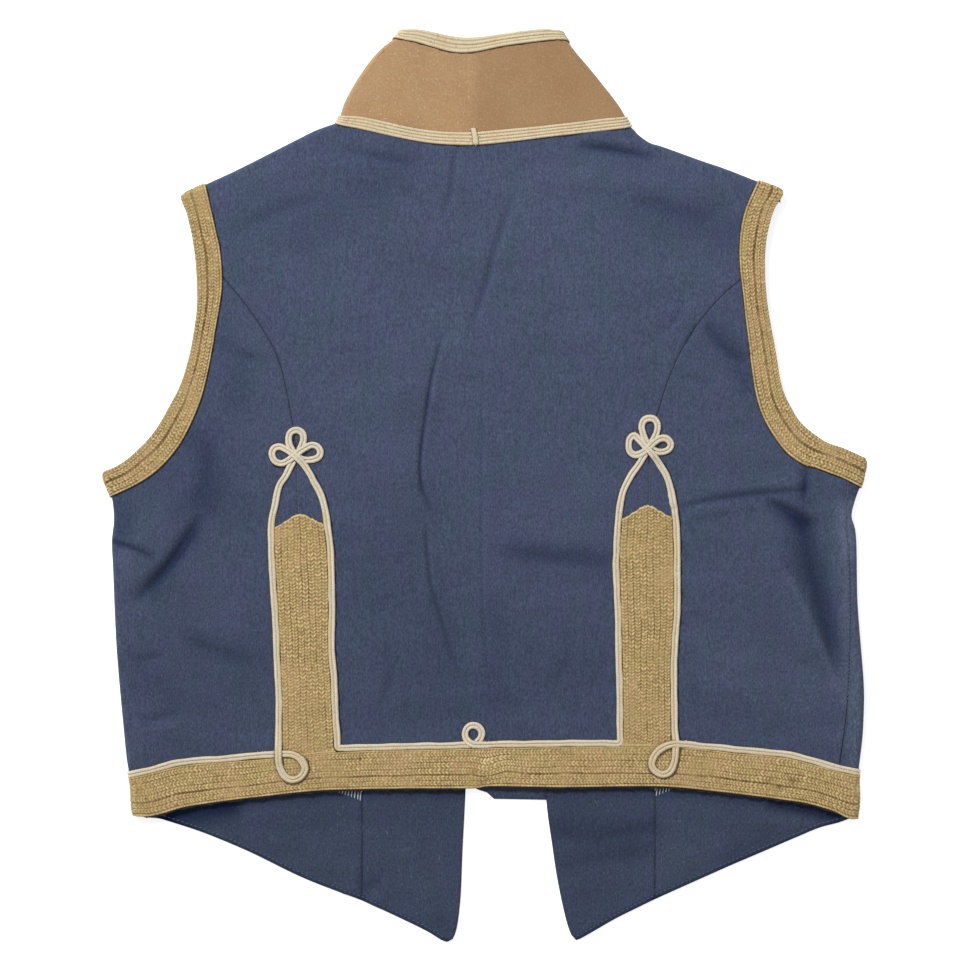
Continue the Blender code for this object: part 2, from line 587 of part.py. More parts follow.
def stations(line, folds, spacing):
    """Shares of a line's length, close together where it goes round a fold."""
    dense = smooth(line, shares(LINE_STEPS))[:, :2]
    steps = np.linalg.norm(np.diff(dense, axis=0), axis=1)
    cost = steps / np.where(near_fold(folds, dense[1:]), FOLD_SPACING, spacing)
    run = np.concatenate([[0], np.cumsum(cost)])
    wanted = np.linspace(0, run[-1], int(np.ceil(run[-1])) + 1)
    return np.interp(wanted, run, shares(LINE_STEPS))


def add_strip(name, surface, folds, edges, section, colour, spacing, under_steps, gap):
    """A trim between two edge lines, with the section's ridges on top and a plain underside."""
    first, second = edges
    middle = (smooth(first, shares(STRIP_STEPS)) + smooth(second, shares(STRIP_STEPS))) / 2
    where = stations(middle, folds, spacing)
    one = smooth(first, where)
    two = smooth(second, where)
    rings = []
    for a, b in zip(one, two):
        tops = np.array([a + (b - a) * share for share, _ in section])
        unders = straight(b, a, under_steps)
        heights = [gap + height for _, height in section]
        top = raised(surface, tops, heights)
        under = raised(surface, unders, np.full(len(unders), gap))
        rings.append(np.vstack([top, under]))
    return add_sweep(name, rings, colour)


def between(line, start, end, steps):
    """Evenly spread points of a smooth line, from the one nearest start to the one nearest end."""
    dense = smooth(line, shares(LINE_STEPS))[:, :2]
    first, last = (np.argmin(np.linalg.norm(dense - place, axis=1)) / LINE_STEPS for place in (start, end))
    return smooth(line, first + shares(steps) * (last - first))


def fitted(line, start, end):
    """The same line with its ends moved to these points."""
    line = line.copy()
    line[0], line[-1] = start, end
    return line


def up_to_turn(line, folds):
    """The stretch of a smooth line that lies on top or no further round these folds than a trim goes."""
    dense = smooth(line, shares(LINE_STEPS))
    return dense[on_top(folds, dense)]


def moved(line, y):
    return [(point[0], point[1] + y) for point in line]


def hem_line(start, end, steps):
    """The cloth's lower edge of the back between two places, just above the braid's edge."""
    x = np.linspace(start, end, steps + 1)
    return np.stack([x, line_through(HEM_EDGE, 0)(x) + BRAID_CLOTH_INSET], axis=1)


def along_tangent(fold, start, end, steps):
    """Plan points where a roll starts, between two places along the fold."""
    along = np.linspace(start, end, steps + 1)
    points = np.stack([along, along], axis=1)
    points[:, fold.across] = fold.tangent(along)
    return points


ARM_EDGE_LEFT = inset(smooth(ARMHOLE_LEFT, shares(STRIP_STEPS)), -1, BRAID_CLOTH_INSET)
ARM_EDGE_RIGHT = inset(smooth(ARMHOLE_RIGHT, shares(STRIP_STEPS)), 1, BRAID_CLOTH_INSET)


def back_center():
    """Centre back, with flaps that turn under at the shoulders."""
    shoulder_left = along_tangent(SHOULDER_LEFT, *SHOULDER_END_LEFT, SHOULDER_STEPS)
    shoulder_right = along_tangent(SHOULDER_RIGHT, *SHOULDER_END_RIGHT, SHOULDER_STEPS)
    neck = inset(smooth(NECK_SEAM, shares(NECK_STEPS)), -1)
    top = np.vstack([shoulder_left, neck, shoulder_right])
    seam_left = inset(smooth(BACK_SEAM_LEFT, shares(SEAM_ROWS)), -1)
    seam_right = inset(smooth(BACK_SEAM_RIGHT, shares(SEAM_ROWS)), 1)
    arm_left = fitted(between(ARM_EDGE_LEFT, seam_left[-1], top[0], ARM_ROWS), seam_left[-1], top[0])
    arm_right = fitted(between(ARM_EDGE_RIGHT, seam_right[-1], top[-1], ARM_ROWS), seam_right[-1], top[-1])
    left = joined(seam_left, arm_left)
    right = joined(seam_right, arm_right)
    hem = fitted(hem_line(left[0][0], right[0][0], len(top) - 1), left[0], right[0])
    grids = [on_body(patch(hem, top, left, right))]
    for fold, edge in ((SHOULDER_LEFT, shoulder_left), (SHOULDER_RIGHT, shoulder_right)):
        grids.append(on_body(roll_columns(fold, edge, roll_pasts(SHOULDER_TURN))))
    add_cloth("back_center", grids, [], DENIM)


def left_fold_edge():
    arm = ARM_EDGE_LEFT[LEFT.past(ARM_EDGE_LEFT) < 0]
    return along_tangent(LEFT, BACK_FOOT_LEFT, arm[0][1], SEAM_ROWS)


def back_side_left():
    """Side back that goes round the side fold to its seam underneath."""
    seam = inset(smooth(BACK_SEAM_LEFT, shares(SEAM_ROWS)), 1)
    fold_edge = left_fold_edge()
    ends = fold_edge[-1], seam[-1]
    top = fitted(between(ARM_EDGE_LEFT, *ends, BACK_SIDE_COLUMNS), *ends)
    hem = fitted(hem_line(fold_edge[0][0], seam[0][0], BACK_SIDE_COLUMNS), fold_edge[0], seam[0])
    main = on_body(patch(hem, top, fold_edge, seam))
    under = on_body(roll_columns(LEFT, fold_edge, roll_pasts(SIDE_TURN)))
    add_cloth("back_side_left", [main, under], [], DENIM)


def back_side_right():
    """Side back whose side seam lies on top, just inside the fold."""
    seam = inset(smooth(BACK_SEAM_RIGHT, shares(SEAM_ROWS)), -1)
    side = inset(smooth(SIDE_SEAM_RIGHT, shares(SEAM_ROWS)), 1)
    top = fitted(between(ARM_EDGE_RIGHT, seam[-1], side[-1], BACK_SIDE_COLUMNS), seam[-1], side[-1])
    hem = fitted(hem_line(seam[0][0], side[0][0], BACK_SIDE_COLUMNS), seam[0], side[0])
    add_cloth("back_side_right", [on_body(patch(hem, top, seam, side))], [], DENIM)


def under_shoulder(fold, ends, corner):
    """The front's shoulder edge beside the end of the back's flap, from or to a corner at this x."""
    points = along_tangent(fold, *ends, SHOULDER_STEPS)
    points[:, 1] -= (SHOULDER_TURN + GAP) / fold.lean
    kept = points[points[:, 0] > corner] if corner < 0 else points[points[:, 0] < corner]
    end = [[corner, np.interp(corner, points[:, 0], points[:, 1])]]
    return np.vstack([end, kept] if corner < 0 else [kept, end])


def front_left():
    """The left front in two pieces, flat on the surface."""
    seam_center = inset(smooth(FRONT_SEAM_LEFT, shares(SEAM_ROWS)), -1)
    arm = smooth(FRONT_ARMHOLE_LEFT_UPPER, shares(FRONT_ARM_ROWS))
    shoulder = under_shoulder(SHOULDER_LEFT, SHOULDER_END_LEFT, arm[-1][0])
    neck = inset(smooth(NECK_UNDER_LEFT, shares(NECK_UNDER_STEPS)), -1)
    top = np.vstack([shoulder, neck])
    left = fitted(joined(seam_center, fitted(arm, seam_center[-1], arm[-1])), seam_center[0], top[0])
    right = fitted(smooth(CENTRE_EDGE_LEFT, shares(FRONT_CENTRE_STEPS)), CENTRE_EDGE_LEFT[0], top[-1])
    bottom = fitted(smooth(FRONT_POINT_LEFT, shares(FRONT_POINT_STEPS)), left[0], right[0])
    add_cloth("front_left_center", [], [outline(bottom, right, top, left)], DENIM_INSIDE)

    edge = left_fold_edge()
    foot = (LEFT.tangent(FRONT_FOOT_LEFT), FRONT_FOOT_LEFT)
    head = (np.interp(FRONT_TOP_LEFT, edge[:, 1], edge[:, 0]), FRONT_TOP_LEFT)
    side = np.vstack([foot, edge[1:-1], head]) + (SIDE_TURN + GAP, 0)
    seam_side = inset(smooth(FRONT_SEAM_LEFT, shares(SEAM_ROWS)), 1)
    bottom = fitted(smooth(FRONT_EDGE_LEFT, shares(FRONT_COLUMNS)), side[0], seam_side[0])
    top = fitted(smooth(FRONT_ARMHOLE_LEFT, shares(FRONT_COLUMNS)), side[-1], seam_side[-1])
    add_cloth("front_left_side", [], [outline(bottom, seam_side, top, side)], DENIM_INSIDE)


def centre_edge_right():
    return smooth(CENTRE_EDGE_RIGHT, shares(FRONT_ROWS + FRONT_ARM_ROWS))


def front_right():
    """The right front in two pieces. Its side piece comes round the fold to the seam on top."""
    seam_center = inset(smooth(FRONT_SEAM_RIGHT, shares(FRONT_ROWS)), 1)
    seam_side = inset(smooth(FRONT_SEAM_RIGHT, shares(FRONT_ROWS)), -1)
    arm = smooth(FRONT_ARMHOLE_RIGHT_UPPER, shares(FRONT_ARM_ROWS))
    shoulder = under_shoulder(SHOULDER_RIGHT, SHOULDER_END_RIGHT, arm[-1][0])
    neck = inset(smooth(NECK_UNDER_RIGHT, shares(NECK_UNDER_STEPS)), -1)
    top = np.vstack([neck, shoulder])
    right = fitted(joined(seam_center, fitted(arm, seam_center[-1], arm[-1])), seam_center[0], top[-1])
    left = fitted(centre_edge_right(), CENTRE_EDGE_RIGHT[0], top[0])
    bottom = fitted(smooth(FRONT_POINT_RIGHT, shares(FRONT_POINT_STEPS)), left[0], right[0])
    add_cloth("front_right_center", [], [outline(bottom, right, top, left)], DENIM_INSIDE)

    fold_edge = along_tangent(RIGHT, FRONT_FOOT_RIGHT, FRONT_TOP_RIGHT, FRONT_ROWS)
    bottom = fitted(smooth(FRONT_EDGE_RIGHT, shares(FRONT_COLUMNS)), seam_side[0], fold_edge[0])
    top = fitted(smooth(FRONT_ARMHOLE_RIGHT, shares(FRONT_COLUMNS)), seam_side[-1], fold_edge[-1])
    roll = on_body(roll_columns(RIGHT, fold_edge, roll_pasts(0)[:-1]))
    heights = [point[1] for point in SIDE_SEAM_RIGHT]
    foot = (line_through(SIDE_SEAM_RIGHT, 1)(heights[0]), heights[0])
    head = (line_through(SIDE_SEAM_RIGHT, 1)(FRONT_TOP_RIGHT), FRONT_TOP_RIGHT)
    side = inset(between(SIDE_SEAM_RIGHT, foot, head, FRONT_ROWS), -1)
    across = [straight(side[k], fold_edge[k], 1) for k in (0, -1)]
    over = on_body(patch(across[0], across[1], side, fold_edge))
    under = outline(bottom, fold_edge, top, seam_side)
    add_cloth("front_right_side", [roll, over], [under], DENIM_INSIDE)


def front_underlap():
    """Narrow underlap beside the right front's centre edge."""
    edge = inset(centre_edge_right(), 1, GAP)
    ends = (UNDERLAP_EDGE[0][1] - UNDERLAP_RISE, UNDERLAP_TOP)
    inside = edge[(edge[:, 1] > ends[0]) & (edge[:, 1] < ends[1])]
    foot, head = ((np.interp(y, edge[:, 1], edge[:, 0]), y) for y in ends)
    right = np.vstack([foot, inside, head])
    left = smooth(UNDERLAP_EDGE, shares(UNDERLAP_STEPS))
    bottom = straight(left[0], right[0], 1)
    top = straight(left[-1], right[-1], 1)
    add_cloth("front_underlap", [], [outline(bottom, right, top, left)], DENIM_INSIDE)


def collar():
    """One band: across the back on top, round both folds, and down to the centre front underneath."""
    base_line = smooth(COLLAR_BASE, shares(LINE_STEPS))
    base_line = base_line[(COLLAR_LEFT.past(base_line) < 0) & (COLLAR_RIGHT.past(base_line) < 0)]
    left = along_tangent(COLLAR_LEFT, base_line[0][1], COLLAR_CORNER_LEFT, COLLAR_ROWS)
    right = along_tangent(COLLAR_RIGHT, base_line[-1][1], COLLAR_CORNER_RIGHT, COLLAR_ROWS)
    top_line = inset(smooth(COLLAR_TOP, shares(STRIP_STEPS)), -1, BRAID_CLOTH_INSET)
    top = fitted(between(top_line, left[-1], right[-1], COLLAR_COLUMNS), left[-1], right[-1])
    base = fitted(smooth(base_line[::9], shares(COLLAR_COLUMNS)), left[0], right[0])
    grids = [on_collar(patch(base, top, left, right))]
    grids += [on_collar(roll_columns(COLLAR_LEFT, left, roll_pasts(0)[:-1]))]
    grids += [on_collar(roll_columns(COLLAR_RIGHT, right, roll_pasts(0)[:-1]))]

    steps = NECK_UNDER_STEPS + 1
    neck = np.vstack([left[0], inset(smooth(NECK_UNDER_LEFT, shares(NECK_UNDER_STEPS)), 1)])
    top = fitted(smooth(COLLAR_UNDER_TOP_LEFT, shares(steps)), left[-1], COLLAR_UNDER_TOP_LEFT[-1])
    under_left = outline(neck, straight(neck[-1], top[-1], 1), top, left)
    neck = np.vstack([inset(smooth(NECK_UNDER_RIGHT, shares(NECK_UNDER_STEPS)), 1), right[0]])
    top = fitted(smooth(COLLAR_UNDER_TOP_RIGHT, shares(steps)), COLLAR_UNDER_TOP_RIGHT[0], right[-1])
    under_right = outline(neck, right, top, straight(neck[0], top[0], 1))
    add_cloth("collar", grids, [under_left, under_right], CAMEL)


def trims():
    """Braids and soutache rows that lie on the cloth and go round its folds."""
    folds = (COLLAR_LEFT, COLLAR_RIGHT)
    top = [up_to_turn(line, folds) for line in (COLLAR_TOP, COLLAR_TOP_INNER)]
    add_strip("collar_top_trim", on_collar, folds, top, SOUTACHE_PAIR_SECTION, CREAM, 12.0, 2, GAP)
    base = [up_to_turn(line, folds) for line in (BASE_TRIM_TOP, BASE_TRIM_BOTTOM)]
    add_strip("collar_base_trim", on_collar, folds, base, SOUTACHE_PAIR_SECTION, CREAM, 12.0, 2, GAP)
    folds = (LEFT, SHOULDER_LEFT)
    arm = [up_to_turn(line, folds) for line in (ARMHOLE_LEFT, ARMHOLE_LEFT_INNER)]
    add_strip("armhole_braid_left", on_body, folds, arm, ARMHOLE_SECTION, GOLD, 9.0, 3, BRAID_GAP)
    folds = (RIGHT, SHOULDER_RIGHT)
    arm = [up_to_turn(line, folds) for line in (ARMHOLE_RIGHT, ARMHOLE_RIGHT_INNER)]
    add_strip("armhole_braid_right", on_body, folds, arm, ARMHOLE_SECTION, GOLD, 9.0, 3, BRAID_GAP)
    folds = (LEFT, RIGHT)
    hem = [up_to_turn(line, folds) for line in (moved(HEM_TOP, -CORD_WIDTH - GAP), HEM_EDGE)]
    add_strip("hem_braid", on_body, folds, hem, HEM_SECTION, GOLD, 11.0, 3, BRAID_GAP)


def panel_section():
    """Ribs across a panel's braid between two plain edges."""
    rows = [(0.0, 0.8), (PANEL_SELVAGE, 1.1)]
    wide = (1 - 2 * PANEL_SELVAGE) / PANEL_RIBS
    for rib in range(PANEL_RIBS):
        start = PANEL_SELVAGE + rib * wide
        rows.append((start + wide / 2, BRAID))
        if rib < PANEL_RIBS - 1:
            rows.append((start + wide, BRAID - PANEL_RIB))
    rows += [(1 - PANEL_SELVAGE, 1.1), (1.0, 0.8)]
    return rows


def add_panel(name, left_arm, right_arm, shoulders, apex):
    """Upright braid between the two arms of the cord, with a pointed top."""
    left_edge = line_through([(x + PANEL_MARGIN, y) for x, y, _ in left_arm], 1)
    right_edge = line_through([(x - PANEL_MARGIN, y) for x, y, _ in right_arm], 1)
    section = panel_section()
    share = np.array([row[0] for row in section])
    heights = GAP + np.array([row[1] for row in section])
    top = np.where(share < 0.5, shoulders[0] + (apex - shoulders[0]) * share * 2,
                   apex + (shoulders[1] - apex) * (share * 2 - 1))
    under_share = shares(PANEL_UNDER_STEPS)[::-1]
    rings = []
    foot_line = line_through(moved(HEM_TOP, -CORD_WIDTH), 0)
    base = left_edge(HEM_EDGE[0][1]), right_edge(HEM_EDGE[0][1])
    foot = foot_line(base[0] + share * (base[1] - base[0]))
    for v in shares(PANEL_ROWS):
        level = foot + v * (top - foot)
        x = left_edge(level) + share * (right_edge(level) - left_edge(level))
        tops = np.stack([x, level], axis=1)
        unders = np.stack([np.interp(under_share, share, x), np.interp(under_share, share, level)], axis=1)
        rings.append(np.vstack([raised(on_body, tops, heights),
                                raised(on_body, unders, np.full(len(unders), GAP))]))
    add_sweep(name, rings, GOLD)


def knot(centre):
    return tuple((centre[0] + x, centre[1] + y, lift) for x, y, lift in KNOT)


def hem_run(start, end, kept=slice(1, -1)):
    """Points of the cord beside the hem's braid, between two places."""
    x = np.linspace(start, end, int((end - start) / HEM_POINT_SPACING) + 2)[kept]
    y = line_through(HEM_TOP, 0)(x) - CORD_WIDTH / 2
    return [(*place, 0.0) for place in zip(x, y)]


def cord_route():
    """The whole run of the cord, from the left fold to the right one."""
    return np.array([
        *hem_run(HEM_TOP[0][0], CORD_LOOP_LEFT[0][0], slice(-1)), *CORD_LOOP_LEFT,
        *PANEL_ARM_LEFT_UP, *knot(KNOT_LEFT), *PANEL_ARM_LEFT_DOWN, *CORD_CORNER_LEFT,
        *hem_run(CORD_CORNER_LEFT[-1][0], CORD_RING[0][0]), *CORD_RING,
        *hem_run(CORD_RING[-1][0], CORD_CORNER_RIGHT[0][0]), *CORD_CORNER_RIGHT,
        *PANEL_ARM_RIGHT_UP, *knot(KNOT_RIGHT), *PANEL_ARM_RIGHT_DOWN, *CORD_LOOP_RIGHT,
        *hem_run(CORD_LOOP_RIGHT[-1][0], HEM_TOP[-1][0], slice(1, None)),
    ])


def cord_stations(line):
    """Shares of the cord's length: close together in bends and round the folds."""
    dense = smooth(line, shares(ROUTE_STEPS))
    run = np.diff(dense[:, :2], axis=0)
    step = np.linalg.norm(run, axis=1)
    heading = np.unwrap(np.arctan2(run[:, 1], run[:, 0]))
    turn = np.abs(np.gradient(heading))
    climb = np.abs(np.diff(dense[:, 2]))
    spacing = np.where(near_fold((LEFT, RIGHT), dense[1:, :2]), FOLD_SPACING, CORD_SPACING)
    cost = step / spacing + turn / CORD_TURN + climb / CORD_CLIMB
    total = np.concatenate([[0], np.cumsum(cost)])
    wanted = np.linspace(0, total[-1], int(total[-1]) + 1)
    return np.interp(wanted, total, shares(ROUTE_STEPS))


def soutache_cord():
    """The cord as one solid, with its strands united where they cross."""
    whole = smooth(cord_route(), shares(ROUTE_STEPS))
    line = whole[on_top((LEFT, RIGHT), whole[:, :2])]
    where = cord_stations(line)
    path = smooth(line, where)
    step = 2 / ROUTE_STEPS
    ahead = smooth(line, np.minimum(where + step, 1)) - smooth(line, np.maximum(where - step, 0))
    aside = np.stack([ahead[:, 1], -ahead[:, 0]], axis=1)
    aside /= np.linalg.norm(aside, axis=1, keepdims=True)
    rings = []
    for point, side in zip(path, aside):
        plan = np.array([point[:2] + side * share * CORD_WIDTH for share, _ in CORD_SECTION])
        height = np.array([GAP + point[2] + height for _, height in CORD_SECTION])
        rings.append(raised(on_body, plan, height))
    cord = add_sweep("soutache_cord", rings, CREAM)
    for k, centre in enumerate((KNOT_LEFT, KNOT_RIGHT, RING_CROSSING)):
        unite = cord.modifiers.new(f"crossing_{k}", "BOOLEAN")
        unite.operation = "UNION"
        unite.object = crossing_core(f"crossing_core_{k}", np.array(centre))
        unite.use_self = True


def crossing_core(name, centre):
    """A low round filler inside the heart of a crossing."""
    mesh = bmesh.new()
    bmesh.ops.create_cone(mesh, cap_ends=True, segments=8, radius1=CORE_RADIUS * MM,
                          radius2=CORE_RADIUS * 0.6 * MM, depth=CORE_HEIGHT * MM)
    base = raised(on_body, centre, np.array(GAP + 0.1))
    bmesh.ops.translate(mesh, verts=mesh.verts, vec=(base + (0, 0, CORE_HEIGHT / 2)) * MM)
    data = bpy.data.meshes.new(name)
    mesh.to_mesh(data)
    mesh.free()
    core = bpy.data.objects.new(name, data)
    core.hide_render = True
    core.display_type = "WIRE"
    bpy.data.collections["cutters"].objects.link(core)
    return core


def main():
    for obj in list(bpy.data.objects):
        bpy.data.objects.remove(obj, do_unlink=True)
    for name in ("denim_vest", "cutters"):
        bpy.context.scene.collection.children.link(bpy.data.collections.new(name))
    back_center()
    back_side_left()
    back_side_right()
    front_left()
    front_right()
    front_underlap()
    collar()
    trims()
    add_panel("panel_braid_left", PANEL_ARM_LEFT_UP, PANEL_ARM_LEFT_DOWN, (-24.9, -22.8), -15.3)
    add_panel("panel_braid_right", PANEL_ARM_RIGHT_UP, PANEL_ARM_RIGHT_DOWN, (-19.8, -18.8), -10.0)
    soutache_cord()


main()
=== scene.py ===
"""A denim vest with gold braid and cream soutache, laid flat with its back up.

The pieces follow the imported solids: the same tables give the cloth's plan, its folds and its trims, in
millimetres, and finer grids add the wrinkles, braid stitches and sewing. Left and right are as seen
from above, which are also the wearer's.
"""

import bpy
import numpy as np
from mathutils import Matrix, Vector, kdtree


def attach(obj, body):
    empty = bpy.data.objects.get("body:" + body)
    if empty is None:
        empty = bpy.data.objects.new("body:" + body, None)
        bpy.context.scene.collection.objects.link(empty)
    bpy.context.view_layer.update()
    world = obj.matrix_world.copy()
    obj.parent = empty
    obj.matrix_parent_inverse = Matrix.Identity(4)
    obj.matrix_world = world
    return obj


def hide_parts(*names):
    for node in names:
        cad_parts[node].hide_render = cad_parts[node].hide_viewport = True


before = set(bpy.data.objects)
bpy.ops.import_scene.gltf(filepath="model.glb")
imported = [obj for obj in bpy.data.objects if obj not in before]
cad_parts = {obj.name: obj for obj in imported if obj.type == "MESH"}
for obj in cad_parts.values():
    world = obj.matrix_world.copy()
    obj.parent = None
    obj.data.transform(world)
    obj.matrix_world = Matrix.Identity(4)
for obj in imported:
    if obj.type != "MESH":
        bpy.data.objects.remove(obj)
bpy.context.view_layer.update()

MM = 0.001

# Cloth and folds: thickness, gaps, heights over the surface, and distances from the folds
CLOTH = 1.5
GAP = 0.3
FOLD_RADIUS = 2.25
FOLD_OUTSIDE = FOLD_RADIUS + CLOTH / 2
LOW = CLOTH / 2
FOLD_TOP = LOW + 2 * FOLD_RADIUS
LAID = 3.5
FRONTS_CLEAR = 2.4
FRONTS_SHOW_BELOW = -181
FRONTS_LIFT_BELOW = -190.0
LOFT_WIDTH = 50.0
CALM_WIDTH = 10.0
SEAM_ROOM = 0.1
UNDERLAP_ROOM = 0.01
SIDE_TURN = 5.0
SHOULDER_TURN = 4.0

# Trims, and the numbers of pieces in lines and folds
CORD_WIDTH = 3.6
TRIM_TURN = np.radians(118)
BRAID_CLOTH_INSET = 0.9
HEM_POINT_SPACING = 9.0
PANEL_MARGIN = CORD_WIDTH / 2 + GAP
LINE_STEPS = 900
CURVE_STEPS = 16
STRAIGHT_STEPS = 20
CORD_STEPS = 12000
FOLD_STEPS = 200
ROLL_STEPS = 12

# Where the cloth's outside turns under: x at each height y
SIDE_FOLD_LEFT = (
    (-229.6, 17), (-228.8, 9), (-227.1, 2), (-223.6, -6), (-222.1, -20), (-223.3, -33), (-222.6, -50),
    (-220.5, -97), (-216.0, -148), (-214.2, -165), (-211.5, -180), (-210.6, -194), (-207.5, -204),
)
SIDE_FOLD_RIGHT = (
    (229.0, 22), (228.5, 15), (226.5, 4), (222.2, -8), (220.0, -18), (222.3, -27), (223.6, -70),
    (227.4, -121), (227.3, -136), (226.5, -151), (225.1, -163), (223.8, -175), (224.2, -190),
    (222.0, -203),
)
SHOULDER_FOLD_LEFT = (
    (-186, 172.2), (-174.9, 177.2), (-155.7, 185.9), (-145.8, 190.6), (-110.7, 208.4), (-100.5, 213.4),
    (-89.1, 217.4), (-80, 220.5),
)
SHOULDER_FOLD_RIGHT = (
    (80, 218.0), (88.2, 214.4), (91.2, 211.2), (98.7, 205.8), (105.3, 203.8), (129.3, 195.2),
    (143.7, 190.3), (163.5, 182.6), (175.5, 178.3), (186, 174.0),
)
COLLAR_FOLD_LEFT = (
    (-93.0, 211), (-87.6, 219.6), (-84.3, 229), (-78.2, 240.6), (-69.2, 253.8), (-61.8, 262.0),
    (-53.5, 268.4), (-49.4, 274),
)
COLLAR_FOLD_RIGHT = (
    (90.5, 209), (85.6, 219.0), (80.9, 227.4), (71.7, 239.4), (63.2, 250.0), (55.3, 259.2), (48.4, 268.4),
    (45.4, 274),
)
# How far the folds of the shoulders and the collar lean from the x or y direction, in degrees
SHOULDER_TILT_LEFT = 25
SHOULDER_TILT_RIGHT = 22
COLLAR_TILT_LEFT = 33
COLLAR_TILT_RIGHT = 35

# Folds pressed or rumpled into the back: path, height (a trough is negative), width of one side
BACK_FOLDS = (
    (((-18.3, 198), (-19, 188), (-22, 168)), -0.6, 7),
    (((15, 170), (8, 150), (2.7, 130), (-1, 108)), -0.7, 8),
    (((-20, 92), (-30.3, 66), (-33.9, 40), (-37.1, 6), (-33, -14)), -0.75, 6),
    (((-47, 70), (-51, 20), (-46, -30)), 1.1, 13),
    (((-33, -26), (-27, -60), (-22, -92), (-12, -118)), -0.6, 8),
    (((1, 20), (1, -60), (3, -120)), 0.7, 9),
    (((30, -34), (52, -41), (68, -47)), -0.7, 9),
    (((36, 4), (60, -6), (84, -10)), 0.9, 14),
    (((-70, 176), (-100, 168), (-132, 176)), 0.9, 16),
    (((52, 203), (78, 199), (98, 196)), -0.7, 7),
    (((118, 160), (96, 176), (70, 184)), 1.2, 13),
    (((-168, -20), (-180, -38), (-195, -55), (-209, -67)), -0.75, 6),
    (((-190, -18), (-203, -34), (-214, -44)), 1.5, 9),
    (((-172, -62), (-160, -80), (-150, -110)), 0.8, 15),
    (((-216, -31), (-208, -37), (-200, -40)), -0.7, 5),
    (((152, -7), (172, -5), (190, -2)), -0.7, 7),
    (((150, 14), (172, 15), (194, 8)), 1.4, 12),
    (((184, -16), (196, -34), (203, -62), (206, -96)), -0.75, 8),
    (((178, -44), (188, -72), (202, -106)), 1.6, 8),
    (((160, -90), (166, -120), (160, -146)), 0.8, 15),
    (((-168, -128), (-180, -140), (-196, -146)), 0.7, 13),
)

# Panel edges seen from above, from the hem up, or from left to right
BACK_SEAM_LEFT = (
    (-104.4, -182.1), (-105.9, -158.4), (-111.3, -15.0), (-112.8, 20), (-117.3, 50.7), (-124.5, 78.6),
    (-139.5, 103.8), (-156.5, 124.8), (-172.3, 143.4),
)
BACK_SEAM_RIGHT = (
    (96.6, -179.2), (97.2, -154.8), (98.7, -9.6), (99.2, 23.4), (104.7, 46.8), (112.5, 69.6),
    (126.3, 94.8), (143.7, 115.2), (167.2, 134),
)
SIDE_SEAM_RIGHT = (
    (211.2, -194.2), (213.0, -164.4), (216.3, -140.4), (218.3, -106.8), (218.6, -49.2), (216.4, -20),
    (217.6, 0), (219.4, 19.2),
)
FRONT_SEAM_LEFT = (
    (-73.5, -248.6), (-73.5, -183.6), (-77, -100), (-86, -20), (-102, 40), (-128, 92), (-164.2, 128),
)
FRONT_SEAM_RIGHT = (
    (102.3, -247.8), (102.3, -184.8), (103, -100), (107, -20), (117, 40), (135, 86), (160.4, 122),
)
ARMHOLE_LEFT = (
    (-229.5, 7.8), (-217.5, 13.4), (-207.6, 21.6), (-197.4, 33.0), (-189.3, 46.8), (-182.7, 59.4),
    (-177.3, 76.2), (-174.3, 91.2), (-172.2, 108), (-173.0, 133.8), (-175.1, 149.4), (-178.4, 163.5),
    (-181.5, 172.0), (-181.2, 180.0),
)
ARMHOLE_LEFT_INNER = (
    (-225.5, -7.2), (-207.9, 1.2), (-195.0, 10.2), (-183.9, 22.8), (-176.1, 36.6), (-169.8, 52.2),
    (-165.3, 69.6), (-162.3, 85.8), (-159.3, 103.8), (-157.1, 120), (-158.4, 141.6), (-161.1, 154.2),
    (-168.0, 185.0),
)
ARMHOLE_RIGHT = (
    (230.0, 15.8), (214.9, 22.6), (204.6, 26.3), (197.8, 30.8), (189.5, 37.9), (183.0, 48.0),
    (178.5, 58.2), (174.3, 81.0), (169.5, 108.6), (167.9, 130), (169.0, 149), (173.6, 166.0),
    (178.6, 174.5), (179.6, 182.0),
)
ARMHOLE_RIGHT_INNER = (
    (226.0, -1.0), (212.1, 5.6), (200.7, 9.6), (190.5, 13.0), (181.5, 19.2), (174.3, 28.2), (166.5, 42.0),
    (162.3, 55.8), (158.1, 85.8), (155.1, 112), (152.6, 139.2), (155.1, 162), (165.0, 186.0),
)
NECK_SEAM = (
    (-84.0, 217.3), (-75.3, 217.0), (-59.7, 214.2), (-41.7, 210.6), (-20.7, 208.2), (-7.5, 208.2),
    (9.3, 209.7), (31.5, 212.4), (51.3, 214.2), (70.5, 215.6), (82.0, 215.6),
)
COLLAR_BASE = (
    (-86.0, 218.6), (-75.3, 217.4), (-59.7, 214.6), (-41.7, 211.0), (-20.7, 208.6), (-7.5, 208.6),
    (9.3, 210.1), (31.5, 212.8), (51.3, 214.6), (70.5, 216.2), (86.0, 217.2),
)
COLLAR_TOP = (
    (-61.0, 267.4), (-55.5, 269.9), (-51.2, 272.0), (-46.5, 273.3), (-41.7, 273.5), (-33.9, 272.4),
    (-20.7, 269.6), (-10.5, 268.6), (-0.9, 269.2), (11.7, 271.0), (31.5, 273.4), (41.7, 273.2),
    (45.8, 272.0), (48.9, 270.0), (52.5, 267.9), (58.0, 265.4),
)
COLLAR_TOP_INNER = (
    (-62.0, 264.9), (-55.7, 267.0), (-51.6, 267.6), (-46.5, 266.7), (-41.7, 265.9), (-30.9, 262.8),
    (-20.7, 260.1), (-14.1, 259.4), (-5.1, 260.1), (11.7, 263.4), (31.5, 266.0), (41.0, 267.0),
    (45.4, 267.1), (49.5, 266.0), (53.5, 264.2), (58.5, 261.6),
)
